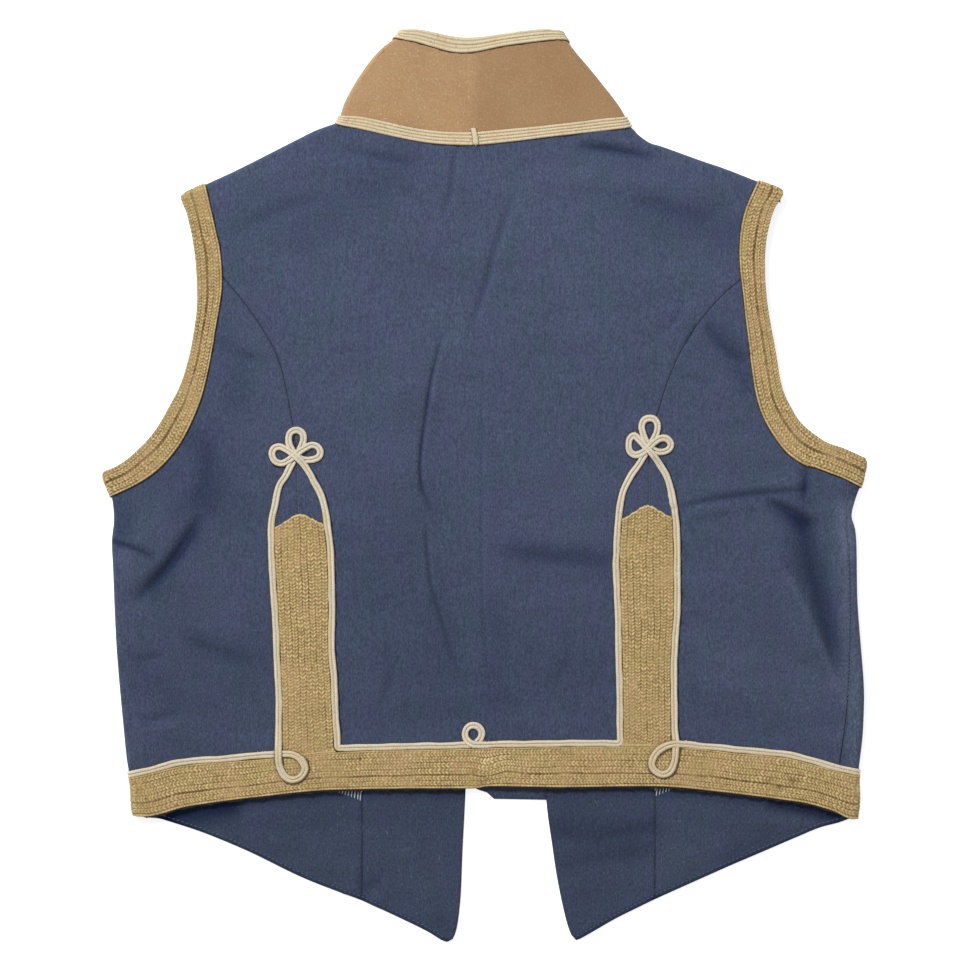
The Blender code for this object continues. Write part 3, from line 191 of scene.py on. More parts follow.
BASE_TRIM_TOP = (
    (-92.0, 221.2), (-77.7, 221.4), (-66.3, 219.6), (-49.5, 216.0), (-33.9, 213.2), (-18.3, 212.0),
    (-7.5, 212.0), (5.4, 213.0), (31.5, 215.4), (57.3, 218.2), (74.1, 220.2), (90.0, 221.0),
)
BASE_TRIM_BOTTOM = (
    (-95.0, 217.6), (-72.9, 213.2), (-53.1, 208.8), (-33.9, 205.4), (-14.1, 204.1), (-2.4, 204.4),
    (18.3, 206.4), (44.4, 209.6), (70.5, 212.4), (93.0, 215.2),
)
HEM_EDGE = (
    (-216, -196.8), (-209, -197.4), (-201.9, -197.8), (-193.5, -196.2), (-182.1, -192.8), (-168.9, -190.4),
    (-134.1, -186.0), (-98.7, -182.4), (-50.7, -181.2), (-11.7, -181.1), (-4.0, -180.8), (1.5, -179.9),
    (45.3, -180.4), (107.1, -180.0), (140.1, -183.0), (178.5, -187.8), (194.1, -190.2), (209.1, -194.6),
    (218.5, -199.0), (228, -198.8),
)
HEM_TOP = (
    (-218, -171.8), (-204.3, -169.2), (-195.3, -166.8), (-181.5, -163.6), (-151.5, -161.1),
    (-125.1, -159.0), (-85.5, -155.4), (-38.7, -154.0), (45.3, -152.4), (117.3, -152.6), (147.9, -155.7),
    (181.5, -159.0), (194.1, -162.0), (209.1, -166.2), (228, -170.8),
)
FRONT_EDGE_LEFT = (
    (-204.6, -198.8), (-195.3, -199.4), (-188.7, -201.3), (-168.9, -207.8), (-142.5, -218.7),
    (-107.7, -235.5), (-73.5, -248.6),
)
FRONT_POINT_LEFT = ((-73.5, -248.6), (-57.3, -256.0), (-33.9, -267.4), (-25.5, -272.5), (-22.5, -273.5))
CENTRE_EDGE_LEFT = (
    (-22.5, -273.5), (-19.5, -272.3), (-17.1, -267.0), (-14.6, -250), (-13.1, -217.8), (-11.4, -184),
    (-7, -60), (-3, 60), (-1, 132),
)
FRONT_EDGE_RIGHT = (
    (102.3, -247.8), (131.1, -234.9), (147.3, -227.7), (170.7, -217.7), (186.3, -211.0), (201.3, -204.8),
    (212.7, -201.8), (219.0, -199.4),
)
FRONT_POINT_RIGHT = ((54.9, -272.4), (57.3, -271.6), (78.6, -259.5), (92.7, -252.5), (102.3, -247.8))
CENTRE_EDGE_RIGHT = (
    (54.9, -272.4), (52.5, -270.0), (50.0, -264.0), (44.1, -238.2), (40.3, -213.6), (37.0, -188.0),
    (35, -100), (32, 0), (29, 80), (27, 136),
)
UNDERLAP_EDGE = (
    (5.6, -187.7), (3.9, -186.2), (1.4, -183.8), (-2.0, -182.8), (-5.2, -181.4), (-5.0, -178.0),
    (0.4, -170.0), (3.4, -160.0), (4.0, -100), (4.5, 0), (5, 124),
)
FRONT_ARMHOLE_LEFT = (
    (-217.0, 3.0), (-203, 13), (-190, 28), (-178, 50), (-169, 76), (-164.8, 102), (-164.2, 128),
)
FRONT_ARMHOLE_LEFT_UPPER = ((-164.2, 128), (-166, 145), (-171, 170.2))
FRONT_ARMHOLE_RIGHT = (
    (160.4, 122), (161.2, 100), (165, 76), (171, 54), (180, 36), (194, 21.5), (210, 15.5), (223.7, 15),
)
FRONT_ARMHOLE_RIGHT_UPPER = ((160.4, 122), (160.8, 145), (168, 171.6))
NECK_UNDER_LEFT = ((-84.3, 213), (-78, 204), (-66, 186), (-44, 160), (-18, 140), (-1, 132))
NECK_UNDER_RIGHT = ((27, 136), (36, 146), (48, 161), (64, 183), (76, 201), (82, 211))
COLLAR_UNDER_TOP_LEFT = ((-51.6, 268), (-40, 246), (-22, 212), (-3, 184))
COLLAR_UNDER_TOP_RIGHT = ((8, 184), (26, 212), (39, 246), (46.8, 267))

# Upper and lower ends of edges that the lines above don't give
UNDERLAP_TOP = 124.0
UNDERLAP_RISE = 0.7
FRONT_TOP_LEFT = 3.0
FRONT_CORNER_LEFT = (-201.4, -197.3)
FRONT_TOP_RIGHT = 15.0
FRONT_FOOT_RIGHT = -198.6
BACK_FOOT_LEFT = -196.5
SHOULDER_END_LEFT = (-180.4, -86.6)
SHOULDER_END_RIGHT = (84.0, 177.5)
COLLAR_CORNER_LEFT = 268.0
COLLAR_CORNER_RIGHT = 267.0

# Trefoil knots of soutache, from their centres, in the order that the cord runs: x, y, and lift if it has one
KNOT_SHAPE_LEFT = (
    (-6.2, -13.0), (-4.2, -9.4), (-1.4, -4.4), (0.6, -0.4), (3.2, 4.4), (5.0, 9.6), (4.2, 13.2),
    (0.8, 14.8), (-2.7, 13.4), (-3.9, 9.4, 0.1), (-2.6, 3.8, 0.4), (0.6, -0.4, 0.5), (4.8, -2.8, 0.3),
    (9.6, -3.0), (13.8, -1.4), (15.1, 1.6), (13.4, 4.8), (10.0, 5.8, 0.1), (5.6, 4.0, 0.5),
    (1.0, 0.8, 1.0), (-3.8, -3.0, 0.7), (-8.2, -5.0, 0.1), (-12.0, -3.6), (-13.9, 0.6), (-12.8, 3.8),
    (-9.6, 5.0, 0.1), (-5.4, 3.4, 0.8), (-1.2, 0.4, 1.3), (2.6, -3.0, 1.2), (6.2, -7.4, 0.3), (9.6, -13.0),
)
KNOT_SHAPE_RIGHT = (
    (-6.2, -10.4), (-3.2, -5.4), (0.0, -0.6), (2.6, 4.4), (4.7, 10.0), (4.6, 14.0), (2.8, 16.6),
    (0.0, 17.2), (-2.8, 16.2), (-4.4, 12.8), (-3.6, 7.4, 0.1), (-1.8, 2.8, 0.4), (0.8, -0.8, 0.5),
    (4.2, -2.7, 0.3), (8.0, -2.9), (11.6, -1.4), (12.9, 1.7), (10.2, 5.0, 0.1), (6.4, 4.9, 0.4),
    (2.4, 2.2, 0.9), (-1.6, -1.4, 0.9), (-5.0, -3.9, 0.4), (-8.6, -4.7), (-11.5, -2.8), (-12.4, 1.1),
    (-11.6, 4.8), (-9.2, 6.8), (-6.2, 4.6, 0.2), (-3.0, 1.1, 0.9), (-0.2, -2.1, 1.3), (3.2, -6.4, 0.9),
    (6.2, -10.8, 0.2),
)
KNOT_LEFT = (-113.3, 18.6)
KNOT_RIGHT = (98.7, 23.4)
OVER_BRAID = 1.8

# Runs of the one soutache cord, in order: x, y, and lift if it has one
CORD_LOOP_LEFT = (
    (-139.0, -161.6), (-130.0, -161.0, 0.1), (-124.8, -160.5, 0.4), (-120.2, -160.2, 1.5),
    (-114.5, -160.8, 1.9), (-109.4, -164.4, OVER_BRAID), (-107.4, -169.4, OVER_BRAID),
    (-110.4, -174.3, OVER_BRAID), (-115.1, -175.7, OVER_BRAID), (-119.6, -173.6, OVER_BRAID),
    (-122.4, -168.6, 2.0), (-123.3, -163.6, 2.6), (-123.3, -159.0, 2.3), (-123.3, -153.0, 0.8),
    (-123.2, -146.0),
)
PANEL_ARM_LEFT_UP = (
    (-123.1, -130.8), (-123.9, -110.4), (-125.1, -82.8), (-126.3, -61.8), (-127.6, -40.2), (-127.5, -22.0),
    (-125.5, -11.5), (-122.9, 0.4),
)
PANEL_ARM_LEFT_DOWN = (
    (-102.6, 3.0), (-98.3, -4.4), (-95.7, -12.8), (-93.7, -26.0), (-92.1, -42.0), (-91.4, -70.0),
    (-91.6, -96.6), (-90.3, -114.0), (-89.4, -134.0), (-88.4, -148.0),
)
CORD_CORNER_LEFT = (
    (-88.2, -153.4), (-88.2, -156.0), (-87.4, -156.9), (-84.8, -157.0),
)
CORD_RING = (
    (-19.0, -155.3), (-13.0, -155.1), (-7.5, -154.7), (-2.8, -151.8), (-1.5, -147.4), (-4.0, -143.9),
    (-8.2, -143.5), (-11.2, -146.6), (-11.0, -151.2, 0.2), (-7.0, -154.6, 1.0), (-1.0, -154.9, 0.4),
    (6.0, -154.8),
)
CORD_CORNER_RIGHT = (
    (78.2, -154.1), (80.6, -153.9), (81.3, -153.0), (81.3, -150.2),
)
PANEL_ARM_RIGHT_UP = (
    (81.2, -142.0), (81.1, -130.0), (80.6, -108.0), (80.1, -82.0), (78.9, -42.0), (79.5, -28.2),
    (80.7, -15.6), (83.2, -2.6), (88.0, 6.8),
)
PANEL_ARM_RIGHT_DOWN = (
    (108.9, 6.0), (111.9, -3.6), (113.7, -12.6), (114.9, -25.2), (115.4, -44.0), (115.3, -74.4),
    (114.0, -96.0), (113.3, -112.0), (113.7, -130.0),
)
CORD_LOOP_RIGHT = (
    (113.9, -144.0), (114.3, -151.0, 0.8), (114.3, -156.5, 1.7), (113.6, -165.4, OVER_BRAID),
    (111.2, -170.6, OVER_BRAID), (106.9, -172.6, OVER_BRAID), (102.3, -170.8, OVER_BRAID),
    (100.0, -166.6, OVER_BRAID), (101.7, -161.4, OVER_BRAID), (105.9, -157.2, 2.0), (112.0, -154.7, 2.2),
    (121.0, -154.7, 0.9), (130.0, -155.7),
)

# Sharper folds that only the scene has: path, depth, width on one side, and height of the banks; a
# negative depth is a narrow ridge, and a negative bank is higher on the right of the path's direction
SHARP_FOLDS = (
    (((-25, 90), (-31, 66), (-34, 48), (-37.7, 21), (-38.3, 8), (-36.4, -4), (-32.6, -12),
      (-29.5, -17)), 2.7, 1.5, 1.7),
    (((-35.1, -20), (-34, -39), (-31.7, -59), (-25, -82), (-20, -99), (-13, -115)), 2.0, 1.5, 1.1),
    (((-14, 208), (-17, 198), (-20, 178), (-24, 162)), 1.4, 1.9, 0.6),
    (((18, 176), (12.3, 159), (5.1, 137), (0.6, 119), (-5, 103), (-10, 88)), 1.8, 2.3, 0.9),
    (((-0.6, 74), (-1.6, 0), (-1.2, -60), (0.6, -98), (4.7, -140)), 0.55, 1.2, 0.1),
    (((10, -38), (34, -42), (56, -43), (78, -47)), 1.7, 5.0, 0.9),
    (((-226, -31.6), (-222, -33.4), (-212.7, -36.4), (-198, -42.5)), 2.8, 1.7, -1.8),
    (((-168, -18), (-176.7, -30), (-182.7, -40), (-190.7, -50), (-198, -58), (-208, -70)), 3.1, 4.2, -2.0),
    (((-160, 30), (-165, 12), (-172, -12)), 1.2, 5.0, 0.5),
    (((-182, -90), (-164, -98), (-140, -106)), 0.9, 4.0, 0.5),
    (((192.6, 12), (192.8, 4), (190.6, -10)), 2.6, 1.9, 1.4),
    (((168, -8), (180, -14), (198, -25)), 2.6, 3.0, 1.6),
    (((182, -10), (192, -28), (198.5, -50), (204.5, -76), (212, -114)), 3.6, 6.6, 2.7),
    (((176, -44), (186, -62), (196.5, -83.4), (213, -124)), -1.6, 2.2, 0.3),
    (((112, -14), (140, -8), (160, -5), (196, -2)), 2.2, 2.1, 1.1),
    (((122, -24), (140, -18), (166, -16)), 0.8, 3.0, 0.4),
    (((120, 108), (112, 96), (103, 92)), 1.0, 2.0, 0.5),
    (((128, 104), (124, 90), (116, 80)), 0.9, 1.8, 0.5),
    (((134, 96), (142, 84), (156, 74)), 1.9, 3.4, 0.9),
    (((112, 74), (122, 64), (136, 60)), 0.9, 2.6, 0.5),
    (((-166, 90), (-148, 80), (-128, 72)), 1.1, 3.6, 0.6),
    (((-88, 203), (-66, 197), (-40, 192)), 1.4, 3.4, 0.7),
    (((56, 204), (78, 201), (100, 197)), 2.4, 2.8, 1.4),
    (((90, 176), (110, 166), (140, 160)), 1.3, 6.0, 0.7),
    (((-152, 150), (-120, 166), (-92, 172)), 1.1, 5.0, 0.6),
    (((-216, -100), (-204, -104), (-190, -100)), 1.0, 3.0, 0.6),
    (((-213, -136), (-200, -140), (-180, -134)), 1.1, 3.4, 0.6),
    (((150, -120), (160, -134), (162, -150)), 0.9, 3.4, 0.5),
    (((-64, -138), (-56, -116), (-60, -92)), 0.9, 4.0, 0.5),
    (((40, -120), (50, -104), (46, -80)), 0.8, 4.0, 0.5),
)
# Bands of painted shade in folds and hollows, and of darker tone, or, below 0, of painted highlight and paler
# tone: path, share of darkening, width
BACK_SHADE_AND_DYE = (
    (((-174, -30), (-184, -43), (-198, -60)), 0.33, 7.0), (((-38, 34), (-38.2, 6)), 0.08, 2.5),
    (((-38, 4), (-36.2, -5), (-32.8, -12)), 0.2, 1.7),
    (((-225, -32), (-213, -36), (-199, -41.5)), 0.3, 2.4),
    (((-110, 150), (-70, 178), (-50, 196)), 0.09, 14.0), (((58, 203), (78, 201), (98, 197)), 0.24, 4.8),
    (((93, 172), (120, 163), (147, 154)), 0.15, 14.0), (((-93, 196), (-50, 176)), 0.07, 14.0),
    (((-172, 26), (-162, 4), (-166, -12)), 0.2, 9.0), (((-155, 100), (-147, 52)), 0.12, 9.0),
    (((-182, -14), (-170, -6)), 0.14, 8.0), (((136, 95), (150, 80), (156, 60)), 0.25, 7.0),
    (((-171, -92), (-144, -103)), 0.14, 6.0), (((-218, -106), (-184, -126)), 0.1, 9.0),
    (((16, -38), (44, -43), (74, -46)), 0.2, 8.0), (((124, -5), (160, -6), (190, -3)), 0.14, 3.4),
    (((174, -13), (192, -22)), 0.3, 5.5), (((192, 8), (192, -8)), 0.25, 5.0),
    (((188, -26), (196, -58), (206, -94)), 0.24, 9.0), (((178, -36), (188, -56)), 0.12, 8.0),
    (((219, -12), (218, -60), (221, -110), (221, -165)), -0.7, 5.6),
    (((214, -16), (217, -38)), -0.45, 6.0), (((-219, -38), (-216, -100), (-211, -165)), -0.08, 5.0),
    (((-219, -10), (-216, -26)), 0.26, 7.0), (((-60, -50), (-24, -106), (60, -106)), 0.11, 38.0),
    (((-186, 6), (-146, -10)), 0.12, 22.0), (((-200, -110), (-130, -96)), 0.08, 36.0),
    (((-140, 150), (-110, 152)), 0.05, 28.0), (((146, -106), (186, -128)), -0.1, 26.0),
    (((4, -66), (6, -112)), 0.07, 9.0), (((-27, -66), (-22, -104)), 0.08, 7.0),
    (((20, 160), (66, 140)), -0.04, 30.0), (((-150, 60), (-168, 28)), 0.07, 14.0),
    (((-214, -46), (-202, -56)), -0.12, 6.0), (((181, -52), (196, -84), (212, -122)), -0.14, 3.0),
    (((-28, 105), (-16, 88), (-24, 66)), -0.08, 9.0), (((30, 186), (80, 184), (120, 172)), -0.07, 7.0),
    (((-40, 160), (-120, 130)), -0.04, 18.0), (((-110, -130), (-50, -136), (20, -128)), 0.07, 9.0),
    (((130, -130), (170, -140), (205, -136)), 0.08, 8.0),
)
# On the fronts: painted shadow under the back's hem, and painted shade along their edges and in their folds
FRONT_SHADE_AND_DYE = (
    (((42, -204), (70, -207), (98, -202)), 0.22, 9.0), (((46, -222), (80, -220), (122, -226)), 0.12, 6.0),
    (((126, -214), (146, -222), (168, -212)), 0.16, 6.0), (((-72, -240), (-64, -236)), 0.34, 3.4),
    (((-150, -206), (-110, -200), (-60, -196), (-20, -198)), 0.1, 7.0),
    (((-50, -244), (-22, -262)), 0.06, 8.0), (((-188, -200), (-170, -198), (-152, -194)), 0.62, 7.0),
    (((-16, -186), (-30, -186)), 0.1, 6.0),
    (((-206, -199), (-150, -190), (-80, -184), (-12, -183)), 0.4, 4.0), (FRONT_EDGE_LEFT, 0.5, 1.4),
    (FRONT_POINT_LEFT, 0.5, 1.4), (FRONT_EDGE_RIGHT, 0.6, 1.5), (FRONT_POINT_RIGHT, 0.6, 1.5),
    (((172, -190.5), (190, -194), (210, -199)), 0.5, 3.0), (((106, -224), (130, -218)), -0.26, 12.0),
    (((50, -202), (92, -208)), 0.1, 12.0), (((66, -246), (60, -262)), 0.08, 12.0),
    (((-52, -230), (-32, -240)), -0.07, 13.0),
    (((38, -183), (90, -182), (150, -186), (212, -197)), 0.38, 4.0),
)
# Folds of the fronts where they show, which only rise: path, height, width
FRONT_FOLDS = (
    (((-156, -206), (-132, -212), (-104, -214)), 0.9, 5.0),
    (((-64, -226), (-60, -240), (-66, -252)), 1.0, 4.0),
    (((-84, -243), (-78, -238), (-76, -230)), 1.3, 2.6),
    (((-98, -224), (-88, -232), (-80, -230)), 0.8, 4.0),
    (((-44, -200), (-40, -230), (-30, -256)), 1.0, 6.0),
    (((-130, -196), (-116, -200), (-96, -198)), 0.8, 5.0),
    (((42, -199), (66, -205), (98, -200)), 1.5, 4.6),
    (((48, -222), (70, -218), (98, -214)), 1.5, 4.6),
    (((54, -240), (70, -236), (92, -236)), 0.9, 5.0),
    (((112, -200), (124, -208), (126, -222)), 1.1, 5.0),
    (((136, -196), (146, -204), (146, -216)), 0.9, 5.0),
    (((164, -200), (176, -204), (190, -204)), 0.8, 4.0),
    (((-150, -60), (-120, -90), (-100, -140)), 0.3, 14.0),
    (((60, 60), (90, 20), (130, -40)), 0.3, 14.0),
)
COLLAR_FOLDS = (
    (((-5.5, 262), (-6.5, 240), (-5, 218)), -0.3, 5.0),
    (((-50, 240), (-44, 228), (-46, 220)), 0.35, 8.0),
    (((34, 250), (46, 238), (52, 226)), 0.35, 9.0),
    (((-70, 224), (-64, 228), (-58, 226)), -0.3, 4.0),
)

# Rows of stitches across the braids: share where a band starts and ends, and its rows, or 0 for plain cord
ARMHOLE_BANDS = ((0.0, 0.39, 2), (0.46, 0.90, 2), (0.915, 1.0, 0))
HEM_BANDS = ((0.0, 0.04, 0), (0.04, 0.655, 4), (0.68, 0.93, 2), (0.945, 1.0, 0))
PANEL_BANDS = ((0.0, 1.0, 8),)

# Small dents in the hem's braid: x, y, size, share of the height
DENTS = (
    (-74.3, -163.5, 0.9, 0.9), (176.5, -180.2, 1.6, 0.8), (172.0, -176.0, 2.5, 0.4),
    (184.0, -176.5, 3.0, 0.35), (0.5, -165.5, 5.5, -0.35), (12.0, -167.0, 6.0, -0.2),
    (-6.0, -171.5, 2.5, 0.35), (1.0, -175.8, 3.5, 0.3),
)

# Where the hem's rows of stitches shift across its width at the centre back: x, size, share of the width
HEM_BENDS = ((1.0, 5.5, -0.095), (13.5, 6.5, 0.06), (-22.0, 9.0, 0.015))
BENDS_BELOW = -150

# Where the hem's lower edge has only a narrow band of painted shadow: from x, to x
BARE_EDGES = ((-np.inf, -203), (-13, 5), (212, np.inf))
BARE_BELOW = -175
BARE_SHADOW_LIP = 0.15

# Sizes of the fine grids' cells, and distances of their first lines from a free edge
CELL = 2.4
SIDE_CELL = 1.72
FRONT_CELL = 3.6
EDGE_STEPS = (0.12, 0.35, 0.75)
EDGE_ROUND = 0.75

# Shares of the centre back's width and height where its grid is twice as fine
CLOSER_ACROSS = (0.34, 0.6)
CLOSER_UP = (0.9, 0.985)

# Points of a shell's sheets are one where they round to the same place
WELDS_PER_MM = 200
WELD_SHIFT = 0.0137

# Sizes of the trims' relief, and columns of the cord
BRAID_ROLL = 4.4
CORNER_RADIUS = 2.8
STITCH_PITCH = 2.1
CORD_STEP = 0.45
CORD_SHOWN = 4.1
CORD_PITCH = 1.4
CORD_COLUMNS = (0, 0.01, 0.06, 0.15, 0.25, 0.35, 0.44, 0.5, 0.56, 0.65, 0.75, 0.85, 0.94, 0.99, 1)

# The cord's inner half is more golden below this height, but not round the ring
KNOTS_ABOVE = -16
RING_CENTRE = (-4.0, -148.8)
RING_REACH = 9

# Trims over the cloth: lowest and highest relief, and steps along and across
BRAID_HEIGHTS = (0.8, 1.4)
BRAID_STEPS = (0.445, 0.36)
CORD_HEIGHTS = (0.25, 1.3)
COLLAR_TRIM_STEPS = (CORD_STEP, 0.3)

# Height of a trim's lowest edge, and widths of the dark bands of painted shadow at its two edges
SEAT = 0.12
SHADOW_SKIRT = 0.4
CORD_SHADOW_SKIRT = 0.75
HEM_SHADOW_SKIRT = 1.1
ARMHOLE_SHADOW_SKIRTS = (0.05, 0.55)
COLLAR_TRIM_SHADOW_SKIRTS = (0.06, 0.5)

# Stitches: radius, length and gap, which closes the row below 0; and how far in from the edge
TOP_STITCH = (0.26, 1.5, 1.3)
SEAM_STITCH = (0.32, 2.2, -0.1)
FILL_STITCH = (0.5, 3.0, -0.2)
DOT_STITCH = (0.4, 1.3, 0.9)
TOP_STITCH_IN = 2.3

# How far above the cloth's outside lines of stitches lie
TOP_STITCH_LIFT = 0.05
FRONT_SEAM_LIFT = -0.35
UNDERLAP_LIFT = -0.25
SIDE_SEAM_LIFT = -0.42
BACK_SEAM_LIFT = -0.6
KNOT_SEAM_LIFT = -0.55
DOTS_LIFT = -0.36

# Heights y between which seams show or are closed
SEAMS_OPEN_ABOVE = 20
BEHIND_KNOTS = (-26, 16)
SIDE_DOTS = (-128, -42)

# The stage, in metres
CAMERA_PLACE = (0.0003, 0.0003, 2.4)
CAMERA_LENS = 148.3
FLOOR_HALF = 3.0
FLOOR_DROP = -0.0002
SKY = 0.38
FLOOR_GLOW = 0.6
# Lights: name, place, width, power
LIGHTS = (("key", (-1.9, 2.4, 3.0), 1.2, 165.0), ("fill", (1.2, -0.6, 1.9), 1.4, 5.0))

# Joint of the collar's base trim, and thread ends beside it: x, y, turn
JOINT_X = -6.0
JOINT_TOP = 214.2
JOINT_FOOT = 204.4
JOINT_WIDTH = 3.4
JOINT_COLUMNS = (0, 0.02, 0.15, 0.35, 0.5, 0.65, 0.85, 0.98, 1)
FRAY_HALF = 0.6
FRAY_RADIUS = 0.22
FRAYED_ENDS = (
    (-8.6, 213.4, 0.6), (-8.9, 210.6, -0.4), (-8.4, 207.6, 0.3), (-3.6, 212.6, 2.6), (-3.2, 209.4, 0.2),
    (-3.7, 206.4, -0.7), (-6.4, 214.9, 1.4), (-5.2, 203.9, 1.7),
)

# White bars of thread at the front seams: x, lower end y
BAR_TOP_LEFT = -181.8
BAR_TOP_RIGHT = -181.0
BAR_LEAN = 0.25
BAR_RADIUS = 0.42
WHITE_BARS_LEFT = (
    (-86.9, -184.0), (-85.1, -184.6), (-83.3, -185.2), (-81.5, -185.8), (-79.6, -186.6), (-77.7, -187.4),
    (-75.8, -188.2), (-74.3, -188.9),
)
WHITE_BARS_RIGHT = ((103.2, -186.0), (105.1, -185.2), (107.0, -184.4), (108.9, -183.6), (110.6, -183.0))


def shares(count):
    """Evenly spread shares from 0 to 1, for the given number of steps."""
    return np.linspace(0, 1, count + 1)


def run_of(line):
    """How far along a line of short straight pieces each of its points lies."""
    return np.concatenate([[0], np.cumsum(np.linalg.norm(np.diff(line, axis=0), axis=1))])


def length_of(line):
    return np.linalg.norm(np.diff(np.asarray(line, float)[:, :2], axis=0), axis=1).sum()


def read_at(run, values, wanted):
    """Each column of values, given along a run, at the wanted places."""
    return np.stack([np.interp(wanted, run, column) for column in values.T], axis=1)


def at_shares(line, fractions):
    """Points at the given shares of the length of a line of short straight pieces."""
    run = run_of(line[:, :2])
    return read_at(run, line, np.asarray(fractions) * run[-1])


def smooth(points, fractions):
    """Points at the given shares of the length of a smooth curve through the given points."""
    points = np.asarray(points, float)
    padded = np.vstack([2 * points[0] - points[1], points, 2 * points[-1] - points[-2]])
    steps = np.linalg.norm(np.diff(padded[:, :2], axis=0), axis=1)
    knots = np.concatenate([[0], np.cumsum(steps**0.5)])
    dense = [points[:1]]
    for i in range(1, len(padded) - 2):
        level = padded[i - 1 : i + 3]
        t0, t1, t2, t3 = knots[i - 1 : i + 3]
        t = np.linspace(t1, t2, CURVE_STEPS + 1)[1:, None]
        for spans in (((t0, t1), (t1, t2), (t2, t3)), ((t0, t2), (t1, t3)), ((t1, t2),)):
            level = [p + (q - p) * (t - a) / (b - a) for p, q, (a, b) in zip(level, level[1:], spans)]
        dense.append(level[0])
    return at_shares(np.vstack(dense), fractions)


def smooth_paths(table, steps):
    return [(smooth(path, shares(steps)), *sizes) for path, *sizes in table]


def fine(points):
    """A smooth line through the points, as many short pieces."""
    return smooth(points, shares(LINE_STEPS))


def line_through(points, along):
    """A function that gives the other coordinate of a smooth line, where along is 0 for x or 1 for y."""
    line = fine(points)
    line = line[np.argsort(line[:, along])]
    return lambda where: np.interp(where, line[:, along], line[:, 1 - along])


def unit(vectors):
    return vectors / np.linalg.norm(vectors, axis=-1, keepdims=True)


def bell(away, width):
    """1 at distance 0, which falls off softly over this width."""
    return np.exp(-((away / width) ** 2))


class Fold:
    """A line where the cloth turns under. Across is 0 where it turns along x, and 1 along y."""

    def __init__(self, points, across, side, tilt=0):
        self.across = across
        self.side = side
        self.lean = np.cos(np.radians(tilt))
        self.line = line_through(points, 1 - across)
        places = [point[1 - across] for point in points]
        self.ends = (min(places), max(places))

    def tangent(self, along):
        """Where the roll starts, just inside the line."""
        return self.line(along) - self.side * FOLD_OUTSIDE / self.lean

    def past(self, plan):
        """How far the cloth has gone past the start of the roll."""
        place = plan[..., self.across]
        return self.side * (place - self.tangent(plan[..., 1 - self.across])) * self.lean

    def roll(self, plan, flat):
        """Moves the points of flat that are past the start of the roll round the fold and under."""
        past = self.past(plan)
        along = plan[..., 1 - self.across]
        angle = np.clip(past / FOLD_RADIUS, 0, np.pi)
        under = np.maximum(past - np.pi * FOLD_RADIUS, 0)
        turned = (past > 0) & (along >= self.ends[0]) & (along <= self.ends[1])
        place = self.tangent(along) + self.side * (FOLD_RADIUS * np.sin(angle) - under) / self.lean
        flat[..., self.across] = np.where(turned, place, flat[..., self.across])
        flat[..., 2] = np.where(turned, LOW + FOLD_RADIUS * (1 + np.cos(angle)), flat[..., 2])

    def clear(self, plan, width):
        """0 at the fold, rising to 1 at this distance inside it or past its ends."""
        inside = np.maximum(-self.past(plan), 0)
        along = plan[..., 1 - self.across]
        beyond = np.maximum(np.maximum(along - self.ends[1], self.ends[0] - along), 0)
        t = np.clip(np.hypot(inside, beyond) / width, 0, 1)
        return t * t * (3 - 2 * t)

    def tangent_line(self, start, end, count=FOLD_STEPS):
        """Plan points where the roll starts, between these places along the fold."""
        along = np.linspace(start, end, count)
        points = np.stack([along, along], axis=1)
        points[:, self.across] = self.tangent(along)
        return points

    def roll_columns(self, edge, extra=0):
        """Plan points beside those of an edge that lies along the fold: round it, and this far under."""
        pasts = np.linspace(0, np.pi * FOLD_RADIUS, ROLL_STEPS + 1)
        if extra:
            ends = pasts[-1] + np.append(1.0, extra - np.array([*EDGE_STEPS[::-1], 0.0]))
            pasts = np.append(pasts, ends[ends > pasts[-1]])
        columns = np.repeat(edge[:, None], len(pasts), axis=1)
        start = self.tangent(edge[:, 1 - self.across])
        columns[..., self.across] = start[:, None] + self.side * pasts / self.lean
        return columns


LEFT = Fold(SIDE_FOLD_LEFT, 0, -1)
RIGHT = Fold(SIDE_FOLD_RIGHT, 0, 1)
SHOULDER_LEFT = Fold(SHOULDER_FOLD_LEFT, 1, 1, SHOULDER_TILT_LEFT)
SHOULDER_RIGHT = Fold(SHOULDER_FOLD_RIGHT, 1, 1, SHOULDER_TILT_RIGHT)
COLLAR_LEFT = Fold(COLLAR_FOLD_LEFT, 0, -1, COLLAR_TILT_LEFT)
COLLAR_RIGHT = Fold(COLLAR_FOLD_RIGHT, 0, 1, COLLAR_TILT_RIGHT)
BODY_FOLDS = (LEFT, RIGHT, SHOULDER_LEFT, SHOULDER_RIGHT)
COLLAR_ENDS = (COLLAR_LEFT, COLLAR_RIGHT)

rng = np.random.default_rng(20)
RIPPLES = [
    (2 * np.pi / length * np.array([np.cos(turn), np.sin(turn)]), start)
    for length, turn, start in zip(
        np.geomspace(14, 75, 22), rng.normal(np.pi / 2, 0.55, 22), rng.uniform(0, 2 * np.pi, 22)
    )
]
STITCH_LUMPS = 0.68 + 0.32 * rng.random(131)

BACK_PATHS, FRONT_PATHS, COLLAR_PATHS = (
    smooth_paths(table, 8) for table in (BACK_FOLDS, FRONT_FOLDS, COLLAR_FOLDS)
)
SHARP_PATHS, BACK_SHADES_AND_DYES, FRONT_SHADES_AND_DYES = (
    smooth_paths(table, 14) for table in (SHARP_FOLDS, BACK_SHADE_AND_DYE, FRONT_SHADE_AND_DYE)
)
SEAM_PATHS = [smooth(seam, shares(24)) for seam in (BACK_SEAM_LEFT, BACK_SEAM_RIGHT)]


def ripple(plan, first=0):
    """Soft uneven waves, from about -1 to 1; a later start leaves out the shortest."""
    waves = [np.sin(plan @ step + start) for step, start in RIPPLES[first:]]
    return sum(waves) / np.sqrt(2.0 * len(waves))


